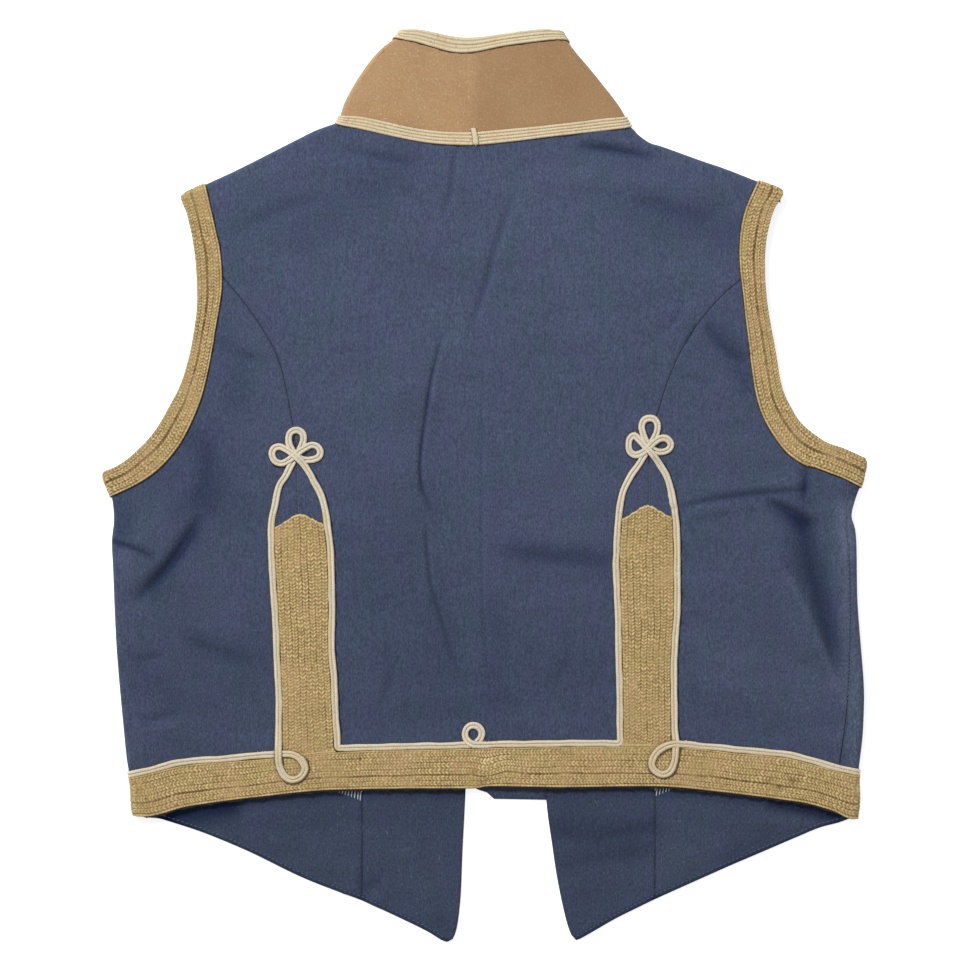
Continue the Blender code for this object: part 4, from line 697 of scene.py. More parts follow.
def beside_path(path, plan):
    """Distance to a path, its side (1 on the left) and the share of its length at the nearest place."""
    best = np.full(plan.shape[:-1], np.inf)
    side, share = np.zeros(best.shape), np.zeros(best.shape)
    for number, (start, end) in enumerate(zip(path[:-1], path[1:])):
        step = end - start
        t = np.clip(((plan - start) @ step) / (step @ step), 0, 1)
        away = plan - start - t[..., None] * step
        distance = np.linalg.norm(away, axis=-1)
        nearer = distance < best
        turn = step[0] * away[..., 1] - step[1] * away[..., 0]
        best = np.where(nearer, distance, best)
        side = np.where(nearer, np.sign(turn), side)
        share = np.where(nearer, (number + t) / (len(path) - 1), share)
    return best, side, share


def distance_to(path, plan):
    return beside_path(path, plan)[0]


def near_path(path, plan, reach):
    """Which points lie within this distance of the box round a path."""
    return np.all((plan > path.min(axis=0) - reach) & (plan < path.max(axis=0) + reach), axis=-1)


def creases(plan, paths):
    """Troughs and ridges along the paths, a little uneven along their length."""
    total = np.zeros(plan.shape[:-1])
    for path, height, width in paths:
        near = near_path(path, plan, 3 * width)
        total[near] += height * bell(distance_to(path, plan[near]), width)
    return total * (1 + 0.22 * ripple(plan, 6))


def sharp_folds(plan):
    """Steep troughs between low banks, or narrow ridges, which fade at their ends; and how deep they are."""
    total, deep = np.zeros(plan.shape[:-1]), np.zeros(plan.shape[:-1])
    for path, depth, width, bank in SHARP_PATHS:
        near = near_path(path, plan, 9 * width)
        away, side, share = beside_path(path, plan[near])
        fade = np.sin(np.pi * np.clip(share, 0.0, 1.0)) ** 0.5
        lean = 1 + 0.35 * np.sign(bank) * np.tanh(side * away / width)
        banks = abs(bank) * lean * bell(away, 4.0 * width)
        trough = fade * depth * bell(away, width)
        total[near] += fade * banks - trough
        deep[near] += trough
    return total * (1 + 0.15 * ripple(plan, 4)), deep


def seam_puckers(plan):
    """A pressed seam's raised allowance with small gathers along it."""
    total = np.zeros(plan.shape[:-1])
    gather = np.sin(2 * np.pi * plan[..., 1] / 8.5 + 1.4 * np.sin(plan[..., 1] / 21.0))
    for path in SEAM_PATHS:
        away = distance_to(path, plan)
        total += 0.22 * bell(away, 6.5) + 0.07 * gather * bell(away, 5.0)
    return total


def height_at(plan, paths, seams):
    """Middle of the wall above the surface, where it lies over the fronts."""
    level, calm = np.ones(plan.shape[:-1]), np.ones(plan.shape[:-1])
    for fold in (*BODY_FOLDS, *COLLAR_ENDS):
        level *= fold.clear(plan, LOFT_WIDTH)
        calm *= fold.clear(plan, CALM_WIDTH)
    rumple = creases(plan, paths) + 0.17 * ripple(plan)
    if seams:
        rumple += seam_puckers(plan) + sharp_folds(plan)[0]
    spare = FOLD_TOP + (LAID - FOLD_TOP) * level + rumple * calm - FRONTS_CLEAR
    return FRONTS_CLEAR + (spare + np.sqrt(spare**2 + 0.16)) / 2


def laid(plan, folds, paths, seams):
    """The middle of the wall over points of the unfolded plan, turned under at the given folds."""
    flat = np.concatenate([plan, height_at(plan, paths, seams)[..., None]], axis=-1)
    for fold in folds:
        fold.roll(plan, flat)
    return flat


def on_body(plan):
    return laid(plan, BODY_FOLDS, BACK_PATHS, True)


def on_collar(plan):
    return laid(plan, COLLAR_ENDS, COLLAR_PATHS, False)


def on_floor(plan):
    """The middle of the wall of what rests on the surface, which lifts a little where it shows."""
    shown = np.clip((FRONTS_LIFT_BELOW - plan[..., 1]) / 10.0, 0, 1)
    lift = np.maximum(creases(plan, FRONT_PATHS) + 0.12 * (1 + ripple(plan, 4)), 0)
    return np.concatenate([plan, (LOW + lift * shown)[..., None]], axis=-1)


def shade_and_dye_at(plan, surface):
    """Painted shade and darker tone on the cloth, as a share, with painted highlight and paler tone below 0.
    """
    total = np.zeros(plan.shape[:-1])
    for path, amount, width in BACK_SHADES_AND_DYES if surface is on_body else FRONT_SHADES_AND_DYES if surface is on_floor else ():
        total += amount * bell(distance_to(path, plan), width)
    if surface is on_body:
        # Painted shade in the troughs of the sharp folds, by their depth
        total += 0.12 * np.clip(sharp_folds(plan)[1], -1.0, 2.6)
    return total


def with_normals(surface, plan):
    """The surface's points and its outward directions."""
    ahead, aside = (surface(plan + step) - surface(plan - step) for step in ((0.05, 0), (0, 0.05)))
    return surface(plan), unit(np.cross(ahead, aside))


def raised(surface, plan, height):
    """Points this far above the outside of the cloth, square to it, and the outward directions."""
    middle, normal = with_normals(surface, plan)
    return middle + normal * (CLOTH / 2 + np.asarray(height)[..., None]), normal


def spread(length, *corners, cell=CELL, closer=()):
    """Shares of a length: close together at both ends, then even, with the corners among them."""
    close = np.array([0, *EDGE_STEPS[:-1]]) / length
    inner = np.linspace(EDGE_STEPS[-1] / length, 1 - EDGE_STEPS[-1] / length, int(length / cell) + 2)
    for start, end in closer:
        between = (inner[1:] + inner[:-1]) / 2
        inner = np.sort(np.append(inner, between[(between > start) & (between < end)]))
    for corner in corners:
        inner = inner[np.abs(inner - corner) > 0.2 * cell / length]
    return np.unique(np.concatenate([close, inner, 1 - close, corners]))


def cells(line, cell=CELL):
    return spread(length_of(line), cell=cell)


def straight(start, end):
    return np.linspace(start, end, STRAIGHT_STEPS)


def patch(bottom, top, left, right, u, v):
    """A grid of plan points between four edges, at shares u to the right and v upwards."""
    bottom, top = at_shares(bottom, u), at_shares(top, u)
    left, right = at_shares(left, v), at_shares(right, v)
    bottom[0], bottom[-1], top[0], top[-1] = left[0], right[0], left[-1], right[-1]
    u, v = u[None, :, None], v[:, None, None]
    sides = (1 - u) * left[:, None] + u * right[:, None]
    ends = (1 - v) * bottom[None] + v * top[None]
    low = (1 - u) * bottom[0] + u * bottom[-1]
    high = (1 - u) * top[0] + u * top[-1]
    return sides + ends - (1 - v) * low - v * high


def folded_patch(bottom, top, left, right, u, v, snaps):
    """A patch whose sides or top lie exactly where rolls start: side name, fold and stretch of each."""
    plan = patch(bottom, top, left, right, u, v)
    for side, fold, kept in snaps:
        edge = {"left": plan[:, 0], "right": plan[:, -1], "top": plan[-1]}[side]
        edge[kept, fold.across] = fold.tangent(edge[kept, 1 - fold.across])
    return plan


def inset(line, side, amount=SEAM_ROOM):
    """A line moved to its left (side 1) or right (side -1)."""
    run = np.gradient(line, axis=0)
    return line + side * amount * unit(np.stack([-run[:, 1], run[:, 0]], axis=1))


def stretch(line, start, end):
    """The stretch of a line from its point nearest start to that nearest end, ending at both."""
    first, last = (np.argmin(np.linalg.norm(line - place, axis=1)) for place in (start, end))
    step = 1 if last > first else -1
    kept = line[first : last + step : step] if last + step >= 0 else line[first::step]
    return np.vstack([start, kept[1:-1], end])


def between_heights(line, low, high):
    return line[(line[:, 1] > low) & (line[:, 1] < high)]


def up_to_turn(line, folds):
    """The part of a line that lies on top or no further round these folds than a trim goes."""
    return line[np.all([fold.past(line) <= TRIM_TURN * FOLD_RADIUS for fold in folds], axis=0)]


def moved(line, y):
    return [(point[0], point[1] + y) for point in line]


def hem_line(start, end):
    """The cloth's lower edge of the back between two places, just above the braid's edge."""
    x = np.linspace(start, end, LINE_STEPS)
    return np.stack([x, line_through(HEM_EDGE, 0)(x) + BRAID_CLOTH_INSET], axis=1)


def add_object(name, data):
    made = bpy.data.objects.new(name, data)
    bpy.context.scene.collection.objects.link(made)
    return made


def make_object(name, points, faces, attributes, look, stands_for=None):
    """A piece of the vest from points in millimetres, with a value or vector of each name at every point."""
    data = bpy.data.meshes.new(name + "_mesh")
    data.from_pydata((points * MM).tolist(), [], faces)
    for key, values in attributes.items():
        kind, field = ("FLOAT", "value") if values.ndim == 1 else ("FLOAT_VECTOR", "vector")
        data.attributes.new(key, kind, "POINT").data.foreach_set(field, values.astype(np.float32).ravel())
    data.shade_smooth()
    data.materials.append(look.material)
    obj = add_object(name + "_shown" if stands_for else name, data)
    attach(obj, "root")
    if stands_for:
        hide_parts(stands_for)
    return obj


def grid_faces(numbers):
    """Quads of a grid of point numbers."""
    corners = (numbers[:-1, :-1], numbers[:-1, 1:], numbers[1:, 1:], numbers[1:, :-1])
    return np.stack([corner.ravel() for corner in corners], axis=1)


def boundary_of(faces):
    """The edges that only one face uses."""
    edges = np.sort(np.concatenate([faces[:, [k, (k + 1) % 4]] for k in range(4)]), axis=1)
    ordered, uses = np.unique(edges, axis=0, return_counts=True)
    return ordered[uses == 1]


def distance_to_rim(points, rim_edges):
    """How far each point of a sheet lies from its free edges, by samples along them."""
    ends = points[rim_edges]
    samples = np.vstack([ends[:, 0] + (ends[:, 1] - ends[:, 0]) * t for t in (0, 0.25, 0.5, 0.75)])
    tree = kdtree.KDTree(len(samples))
    for number, place in enumerate(samples):
        tree.insert(place, number)
    tree.balance()
    return np.array([tree.find(place)[2] for place in points])


def cloth(name, sheets, look):
    """A thin wall with rounded edges through grids of plan points, each with its surface and side."""
    rows, faces, count = [], [], 0
    for surface, plan, side in sheets:
        middle, normal = (part.reshape(-1, 3) for part in with_normals(surface, plan))
        quads = grid_faces(np.arange(len(middle)).reshape(plan.shape[:2]))
        a, b, c = (middle[quads[:, k]] for k in range(3))
        up = (np.cross(b - a, c - b) * normal[quads[:, 0]]).sum()
        faces.append(count + (quads if up * side > 0 else quads[:, ::-1]))
        # Painted shade and highlight of the folds, the hem and the edges, with the cloth's own tone, at each
        # point
        shade_and_dye = shade_and_dye_at(plan, surface).reshape(-1, 1)
        rows.append(np.hstack([middle, normal * side, plan.reshape(-1, 2), shade_and_dye]))
        count += len(middle)
    rows = np.vstack(rows)
    key = np.round(rows[:, :3] * WELDS_PER_MM + WELD_SHIFT).astype(np.int64)
    _, first, inverse = np.unique(key, axis=0, return_index=True, return_inverse=True)
    middles, normals, plans, shades_and_dyes = np.split(rows[first], (3, 6, 8), axis=1)
    faces = inverse.ravel()[np.vstack(faces)]
    rim_edges = boundary_of(faces)
    numbers = np.arange(len(middles))
    free = ~np.isin(numbers, rim_edges)
    away = np.where(free, distance_to_rim(middles, rim_edges), 0)
    wall = CLOTH / 2 * np.sqrt(1 - (1 - np.clip(away / EDGE_ROUND, 0, 1)) ** 2)
    wall = normals * wall[:, None]
    numbers[free] = len(middles) + np.arange(free.sum())
    points = np.vstack([middles + wall, (middles - wall)[free]])
    both_sides = np.vstack([faces, numbers[faces][:, ::-1]])
    attributes = {
        "plan": np.column_stack([np.vstack([plans, plans[free]]), points[:, 2]]),
        "edge": np.append(away, away[free]),
        "shade_and_dye": np.append(shades_and_dyes, shades_and_dyes[free]),
    }
    obj = make_object(name, points, both_sides.tolist(), attributes, look, name)
    a, b, c, d = (middles[faces[:, k]] for k in range(4))
    return obj


def rows_of_stitches(t, s, bands):
    """Height over the braid's ground, 0 to 1, at shares t across it and s millimetres along it."""
    t = t + np.sin(np.pi * t) ** 2 * (0.012 * np.sin(s / 13.0) + 0.009 * np.sin(s / 4.7 + 2.0))
    height = 0.04 + 0.16 * np.cos(2 * np.pi * s / STITCH_PITCH) + 0 * t
    for start, end, rows in bands:
        place = np.clip((t - start) / (end - start), 0, 1 - 1e-9) * max(rows, 1)
        row = np.floor(place)
        across = 2 * (place % 1) - 1
        away = np.abs(across)
        if rows:
            uneven = 0.35 * np.sin(s / 11.0 + 2.1 * row) + 0.35 * np.sin(s / 4.3 + 1.3 * row + 5 * start)
            turn = s / STITCH_PITCH - 0.6 * away + uneven
            number = np.round(turn).astype(int) * 7 + row.astype(int) * 31 + 11 * (across > 0)
            lump = STITCH_LUMPS[number % len(STITCH_LUMPS)]
            yarn = 0.5 + 0.5 * np.cos(2 * np.pi * turn)
            gap = 0.4 * (1 + 0.9 * np.sin(s / 17.0 + 1.9 * row))
            leg = np.sin(np.pi * np.clip(away, 0.02, 0.98)) ** 0.5
            rib = lump * (0.3 + 0.7 * yarn**0.9 * leg) - gap * away**8 * (1 - 0.6 * yarn)
        else:
            uneven = 0.66 + 0.14 * np.cos(2 * np.pi * s / 1.9) + 0.1 * np.sin(s / 3.1)
            rib = np.sqrt(np.clip(1 - away**2, 0, 1)) * uneven
        height = np.where((t >= start) & (t <= end), rib, height)
    return np.clip(height, 0, 1)


def soutache_rows(t, s, ridges):
    """Height of rows of soutache, 0 to 1, where each ridge has slanted threads."""
    place = np.clip(t, 0, 1 - 1e-9) * ridges
    across = 2 * (place % 1) - 1
    slant = np.where(np.floor(place) % 2 == 0, 1, -1)
    round_top = 0.2 + 0.8 * np.sqrt(np.clip(1 - across**2, 0, 1))
    threads = 0.5 + 0.5 * np.cos(2 * np.pi * (s / CORD_PITCH + 0.35 * slant * across))
    slack = 0.94 + 0.06 * np.sin(s / 3.7) * np.sin(s / 9.1 + 1.0)
    return round_top * (0.82 + 0.18 * threads) * slack


def solid_strip(name, surface, plan, rise, heights, look, shadow_skirts=(SHADOW_SKIRT, SHADOW_SKIRT), lifts=0.0, inner=0.0,
                stands_for=None):
    """Closes a grid of raised points with a plain underside and ends, and a thin dark band of painted shadow
    at each side.
    """
    # Painted shadow: a thin dark band beside each side of the trim
    shadow_lips, row = [], np.arange(len(plan))[:, None, None]
    uneven = 1 + 0.3 * np.sin(row / 5.3) + 0.2 * np.sin(row / 2.1)
    for last, beside, width in ((0, 2, shadow_skirts[0]), (-1, -3, shadow_skirts[1])):
        edge = plan[:, [last]]
        x, y = edge[..., :1], edge[..., 1:]
        bare = (y < BARE_BELOW) & np.any([(x > start) & (x < end) for start, end in BARE_EDGES], axis=0)
        shadow_lips.append(edge + width * np.where(bare, BARE_SHADOW_LIP, uneven) * unit(edge - plan[:, [beside]]))
    plan = np.concatenate([shadow_lips[0], plan, shadow_lips[1]], axis=1)
    inner = np.pad(np.broadcast_to(inner, rise.shape), ((0, 0), (1, 1)), mode="edge")
    rise = np.pad(rise, ((0, 0), (1, 1)))
    ends = np.minimum(np.arange(len(rise)), np.arange(len(rise))[::-1])
    rounding = np.clip(ends / 2.0, 0, 1)[:, None] ** 0.5
    height = SEAT + (heights[0] + (heights[1] - heights[0]) * rise) * (0.35 + 0.65 * rounding)
    height[:, [0, -1]] = SEAT
    height[:, [1, -2]] = 2 * SEAT
    lifts = np.reshape(lifts, (-1, 1))
    height = height + lifts
    points, _ = raised(surface, plan, height)
    numbers = np.arange(height.size).reshape(height.shape)
    faces = grid_faces(numbers)
    a, b, c = (points.reshape(-1, 3)[faces[:, k]] for k in range(3))
    if np.cross(b - a, c - b)[:, 2].sum() < 0:
        faces, numbers = faces[:, ::-1], numbers[:, ::-1]
    under = np.stack([numbers[1:, 0], numbers[1:, -1], numbers[:-1, -1], numbers[:-1, 0]], axis=1)
    all_faces = [*faces.tolist(), *under.tolist(), numbers[0, ::-1].tolist(), numbers[-1].tolist()]
    attributes = {
        "plan": np.column_stack([plan.reshape(-1, 2), points[..., 2].ravel()]),
        "crown": np.where(height - lifts <= 2 * SEAT, -1.0, rise).ravel(),
        "inner": inner.ravel().astype(float),
    }
    return make_object(name, points.reshape(-1, 3), all_faces, attributes, look, stands_for)


def round_corners(line, folds, side):
    """Moves a line in beside the folds, so that the braid's outer corners look round from above."""
    amount = np.zeros(len(line))
    for fold in folds:
        past = fold.past(line)
        shown = np.where(past > 0, BRAID_ROLL * np.sin(np.clip(past / FOLD_RADIUS, 0, np.pi / 2)), past)
        ahead = np.clip(shown - BRAID_ROLL + CORNER_RADIUS, 0, CORNER_RADIUS)
        amount = np.maximum(amount, CORNER_RADIUS - np.sqrt(CORNER_RADIUS**2 - ahead**2))
    return inset(line, side, amount[:, None])


def strip(name, surface, folds, edges, relief, heights, steps, look, shadow_skirts, side=0):
    """A trim between two lines, as far round the folds as trims go, with a relief raised on top."""
    first, second = (up_to_turn(fine(line), folds) for line in edges)
    if side:
        first = round_corners(first, folds, side)
    middle = (at_shares(first, shares(LINE_STEPS)) + at_shares(second, shares(LINE_STEPS))) / 2
    length = length_of(middle)
    where = shares(int(length / steps[0]))
    one, two = at_shares(first, where), at_shares(second, where)
    width = np.linalg.norm(two - one, axis=1).mean()
    t = np.concatenate([[0, 0.004], shares(int(width / steps[1]))[1:-1], [0.996, 1]])[None, :]
    plan = one[:, None] + (two - one)[:, None] * t[..., None]
    x, y = plan[..., 0], plan[..., 1]
    bends = sum(shift * bell(x - place, size) for place, size, shift in HEM_BENDS)
    rows = t + bends * (y < BENDS_BELOW) * np.sin(np.pi * t) ** 1.5
    rise = relief(rows, (where * length)[:, None])
    for place, height, size, depth in DENTS:
        rise = rise * (1 - depth * bell(np.hypot(x - place, y - height), size))
    return solid_strip(name, surface, plan, rise, heights, look, shadow_skirts, stands_for=name)


def braid(name, folds, edges, bands, shadow_skirts, side=0):
    relief = lambda t, s: rows_of_stitches(t, s, bands)
    return strip(name, on_body, folds, edges, relief, BRAID_HEIGHTS, BRAID_STEPS, GOLD, shadow_skirts, side)


def collar_trim(name, edges):
    relief = lambda t, s: soutache_rows(t, s, 4)
    return strip(name, on_collar, COLLAR_ENDS, edges, relief, CORD_HEIGHTS, COLLAR_TRIM_STEPS, COLLAR_CREAM,
                 COLLAR_TRIM_SHADOW_SKIRTS)


def panel(name, left_arm, right_arm, shoulders, apex, flares):
    """Upright braid between the two arms of the cord, with a pointed top and a foot that fills the corner."""
    left_edge = line_through([(x + PANEL_MARGIN, y) for x, y in left_arm], 1)
    right_edge = line_through([(x - PANEL_MARGIN, y) for x, y in right_arm], 1)
    base = left_edge(HEM_EDGE[0][1]), right_edge(HEM_EDGE[0][1])
    share = np.unique(np.concatenate([shares(int((base[1] - base[0]) / BRAID_STEPS[1])), [0.004, 0.996]]))
    left_slope = shoulders[0] + (apex - shoulders[0]) * share * 2
    top = np.where(share < 0.5, left_slope, apex + (shoulders[1] - apex) * (share * 2 - 1))
    top = top - 1.3 * bell(share - 0.5, 0.055) + 0.22 * np.sin(41 * share) + 0.15 * np.sin(73 * share + 1)
    foot = line_through(moved(HEM_TOP, -CORD_WIDTH - 0.7), 0)(base[0] + share * (base[1] - base[0]))
    level = foot + shares(int((apex - foot.mean()) / BRAID_STEPS[0]))[:, None] * (top - foot)
    climbed = level - foot
    flare = bell(climbed, 2.6)
    left, right = left_edge(level) - flares[0] * flare, right_edge(level) + flares[1] * flare
    plan = np.stack([left + share * (right - left), level], axis=-1)
    rise = rows_of_stitches(share[None, :], climbed, PANEL_BANDS)
    rise = np.maximum(rise, 0.8 * bell(climbed - 1.0, 0.8))
    rise = np.maximum(rise, 0.95 * bell(top - level - 0.9, 0.7))
    return solid_strip(name, on_body, plan, rise, BRAID_HEIGHTS, GOLD, stands_for=name)


def knot(centre, shape):
    return [(centre[0] + x, centre[1] + y, *lift) for x, y, *lift in shape]


def hem_run(start, end, kept=slice(1, -1)):
    """Points of the cord beside the hem's braid, between two places."""
    x = np.linspace(start, end, int((end - start) / HEM_POINT_SPACING) + 2)[kept]
    return list(zip(x, line_through(HEM_TOP, 0)(x) - CORD_WIDTH / 2))


def cord_route():
    """The whole run of the cord, from the left fold to the right one, with a lift at every point."""
    route = [
        *hem_run(HEM_TOP[0][0], CORD_LOOP_LEFT[0][0], slice(-1)), *CORD_LOOP_LEFT,
        *PANEL_ARM_LEFT_UP, *knot(KNOT_LEFT, KNOT_SHAPE_LEFT), *PANEL_ARM_LEFT_DOWN, *CORD_CORNER_LEFT,
        *hem_run(CORD_CORNER_LEFT[-1][0], CORD_RING[0][0]), *CORD_RING,
        *hem_run(CORD_RING[-1][0], CORD_CORNER_RIGHT[0][0]), *CORD_CORNER_RIGHT,
        *PANEL_ARM_RIGHT_UP, *knot(KNOT_RIGHT, KNOT_SHAPE_RIGHT), *PANEL_ARM_RIGHT_DOWN, *CORD_LOOP_RIGHT,
        *hem_run(CORD_LOOP_RIGHT[-1][0], HEM_TOP[-1][0], slice(1, None)),
    ]
    return np.array([(*place, 0.0)[:3] for place in route])


def soutache_cord():
    """One run of cord with two rounded ridges, which crosses over itself in the knots."""
    line = up_to_turn(smooth(cord_route(), shares(CORD_STEPS)), (LEFT, RIGHT))
    where = shares(int(length_of(line) / CORD_STEP))
    path = at_shares(line, where)
    run = where * length_of(line)
    sway = 0.09 * np.sin(run / 6.7) + 0.06 * np.sin(run / 3.1 + 2.0) + 0.03 * np.sin(run / 1.7)
    ahead = at_shares(line, np.minimum(where + 1e-4, 1)) - at_shares(line, np.maximum(where - 1e-4, 0))
    aside = unit(np.stack([ahead[:, 1], -ahead[:, 0]], axis=1))
    t = np.array(CORD_COLUMNS)[None, :]
    across = (t - 0.5) * (CORD_SHOWN + 0.16 * np.sin(run / 3.3)[:, None]) + sway[:, None]
    plan = path[:, None, :2] + aside[:, None] * across[..., None]
    rise = soutache_rows(t, run[:, None], 2)
    x, y, lift = path[:, :1], path[:, 1:2], path[:, 2:]
    ring = np.hypot(x - RING_CENTRE[0], y - RING_CENTRE[1]) < RING_REACH
    inner = np.maximum((t > 0.5) & (y < KNOTS_ABOVE) & ~ring, lift > 0.8 * OVER_BRAID)
    return solid_strip("soutache_cord", on_body, plan, rise, CORD_HEIGHTS, CREAM, (CORD_SHADOW_SKIRT, SHADOW_SKIRT), lift,
                       inner, "soutache_cord")


def capsules(name, centres, halves, ups, radius, look):
    """Small rounded bars: a centre, half a length and an upward direction for each."""
    half = np.linalg.norm(halves, axis=1, keepdims=True)
    ahead = halves / half
    aside = unit(np.cross(ups, ahead))
    up = np.cross(ahead, aside)
    shape = [
        centres + ahead * half * along + (aside * np.cos(a) + up * (np.sin(a) * 0.8 + 0.15)) * radius * wide
        for along, wide in ((-1, 0.25), (-0.8, 0.85), (0, 1.0), (0.8, 0.85), (1, 0.25))
        for a in np.linspace(0, 2 * np.pi, 7)[:-1]
    ]
    ring = np.arange(len(shape)).reshape(5, 6)
    quads = grid_faces(np.hstack([ring, ring[:, :1]])).tolist() + [ring[0, ::-1].tolist(), ring[-1].tolist()]
    starts = range(0, len(centres) * len(shape), len(shape))
    faces = [[start + corner for corner in quad] for start in starts for quad in quads]
    return make_object(name, np.stack(shape, axis=1).reshape(-1, 3), faces, {}, look)


def stitches(name, lines, sizes, look):
    """Rows of short raised stitches along lines of points on the cloth's outside, in space."""
    radius, length, gap = sizes
    centres, heads, ups = [], [], []
    for line, up in lines:
        run = run_of(line)
        places = np.arange(length / 2, run[-1] - length / 2, length + gap)
        centres.append(read_at(run, line, places))
        heads.append(read_at(run, line, places + length / 2))
        ups.append(read_at(run, up, places))
    centres, heads, ups = (np.vstack(part) for part in (centres, heads, ups))
    return capsules(name, centres, heads - centres, ups, radius, look)


def sewn_line(surface, points, lift=TOP_STITCH_LIFT):
    """Places and upward directions on the outside of the cloth along a line of plan points."""
    points = at_shares(points, shares(int(length_of(points) / 0.8)))
    return raised(surface, points, lift)


def set_inputs(node, values):
    for key, value in values.items():
        node.inputs[key].default_value = value


class Look:
    """One procedural material, built from nodes, and the slot that it stands for."""

    def __init__(self, name, slot, roughness, sheen=0.0):
        self.slot = slot
        self.material = bpy.data.materials.new(name)
        self.material.use_nodes = True
        self.tree = self.material.node_tree
        self.shader = self.tree.nodes["Principled BSDF"]
        set_inputs(self.shader, {
            "Roughness": roughness, "Metallic": 0.0, "Specular IOR Level": 0.25, "Sheen Weight": sheen,
            "Sheen Roughness": 0.6,
        })
        self.plan = self.attribute("plan", "Vector")

    def attribute(self, name, output="Fac"):
        made = self.tree.nodes.new("ShaderNodeAttribute")
        made.attribute_name = name
        return made.outputs[output]

    def add(self, kind, inputs, **settings):
        made = self.tree.nodes.new(kind)
        for key, value in settings.items():
            setattr(made, key, value)
        for key, value in inputs.items():
            if isinstance(value, bpy.types.NodeSocket):
                self.tree.links.new(value, made.inputs[key])
            else:
                made.inputs[key].default_value = value
        return made

    def place(self, axis):
        return self.add("ShaderNodeSeparateXYZ", {0: self.plan}).outputs[axis]

    def turned(self, turn):
        inputs = {"Vector": self.plan, "Rotation": (0, 0, turn)}
        return self.add("ShaderNodeMapping", inputs).outputs[0]

    def noise(self, across, along, detail=2.0, turn=0.0):
        """Noise whose marks are about this many millimetres across and along."""
        inputs = {"Vector": self.turned(turn), "Scale": (1 / across, 1 / along, 1 / along)}
        sized = self.add("ShaderNodeMapping", inputs).outputs[0]
        inputs = {"Vector": sized, "Scale": 1.0, "Detail": detail}
        return self.add("ShaderNodeTexNoise", inputs).outputs["Fac"]

    def level(self, value, low, high, to_low=0.0, to_high=1.0):
        """Stretches the range from low to high over the new one, and holds it at both ends."""
        inputs = {"Value": value, "From Min": low, "From Max": high, "To Min": to_low, "To Max": to_high}
        return self.add("ShaderNodeMapRange", inputs).outputs[0]

    def spots(self, across, along, detail, *levels, turn=0.0):
        """Noise of this size, stretched over a range."""
        return self.level(self.noise(across, along, detail, turn), *levels)

    def twill(self, length, turn, wobble):
        inputs = {"Vector": self.turned(turn), "Scale": 0.314 / length, "Distortion": wobble, "Detail": 1.0}
        return self.add("ShaderNodeTexWave", inputs).outputs["Fac"]

    def sum_of(self, first, second):
        return self.add("ShaderNodeMath", {0: first, 1: second}, operation="ADD").outputs[0]

    def times(self, first, second):
        return self.add("ShaderNodeMath", {0: first, 1: second}, operation="MULTIPLY").outputs[0]

    def mix(self, share, first, second):
        def full(colour):
            return colour if isinstance(colour, bpy.types.NodeSocket) else (*colour, 1.0)

        inputs = {0: share, 6: full(first), 7: full(second)}
        return self.add("ShaderNodeMix", inputs, data_type="RGBA").outputs[2]

    def cover(self, colour, mask, most, top):
        """A colour with another one over it where a mask is high, by this share at most."""
        return self.mix(self.times(mask, most), colour, top)

    def finish(self, colour, height, depth):
        """Sets the shader's colour, and a bump of this depth in millimetres."""
        self.tree.links.new(colour, self.shader.inputs["Base Color"])
        made = self.add("ShaderNodeBump", {"Height": height, "Distance": depth * MM, "Strength": 1.0})
        self.tree.links.new(made.outputs["Normal"], self.shader.inputs["Normal"])


def linear(*colour):
    """Light values of a colour given in 0 to 255."""
    scaled = np.array(colour) / 255
    return tuple(np.where(scaled <= 0.04045, scaled / 12.92, ((scaled + 0.055) / 1.055) ** 2.4).tolist())


def denim(slot, slate, violet, light, shade, rim_shade):
    """Twill with a vertical slub, fine pale grain and soft slate and violet patches, darker towards the
    bottom, with painted shade in the folds, under the hem and along the edges, painted highlight on some
    rises, and patches of darker and paler tone.
    """
    made = Look(slot + "_finish", slot, 0.9, 0.04)
    broad = made.spots(26, 60, 3.0, 0.4, 0.6, 0.0, 0.6)
    tint = made.sum_of(broad, made.spots(8, 18, 1.0, 0.38, 0.62, 0.0, 0.4))
    patches = made.spots(38, 30, 2.0, 0.32, 0.68, 0.96, 1.04)
    bands = made.spots(52, 9, 2.0, 0.34, 0.66, 0.96, 1.04)
    slub = made.spots(1.0, 16.0, 2.0, 0.3, 0.7, 0.93, 1.07)
    grain = made.spots(0.75, 1.7, 2.0, 0.28, 0.74)
    fleck = made.spots(1.2, 2.2, 1.0, 0.66, 0.8)
    higher = made.level(made.place(1), -190.0, 170.0, shade, 1.04)
    tone = made.times(made.times(patches, slub), made.times(higher, bands))
    # Painted shade along the cloth's free edges, which darkens them to the given share
    tone = made.times(tone, made.level(made.attribute("edge"), 0.2, 1.7, rim_shade, 1.0))
    colour = made.mix(tint, slate, violet)
    colour = made.cover(colour, grain, 0.48, light)
    colour = made.cover(colour, fleck, 0.26, linear(126, 138, 160))
    colour = made.add("ShaderNodeVectorMath", {0: colour, 3: tone}, operation="SCALE").outputs[0]
    # Painted shade of folds, hem and edges, painted highlight below 0, and the cloth's own tone, taken off
    # each channel
    shade_and_dye = made.attribute("shade_and_dye")
    less = [made.add("ShaderNodeMath", {0: 1.0, 1: made.times(shade_and_dye, share)}, operation="SUBTRACT").outputs[0]
            for share in (1.12, 1.0, 0.74)]
    deep = made.add("ShaderNodeCombineXYZ", dict(enumerate(less))).outputs[0]
    colour = made.add("ShaderNodeVectorMath", {0: colour, 1: deep}, operation="MULTIPLY").outputs[0]
    made.finish(colour, made.sum_of(made.times(made.twill(0.7, np.radians(-58), 1.5), 0.5), grain), 0.10)
    return made


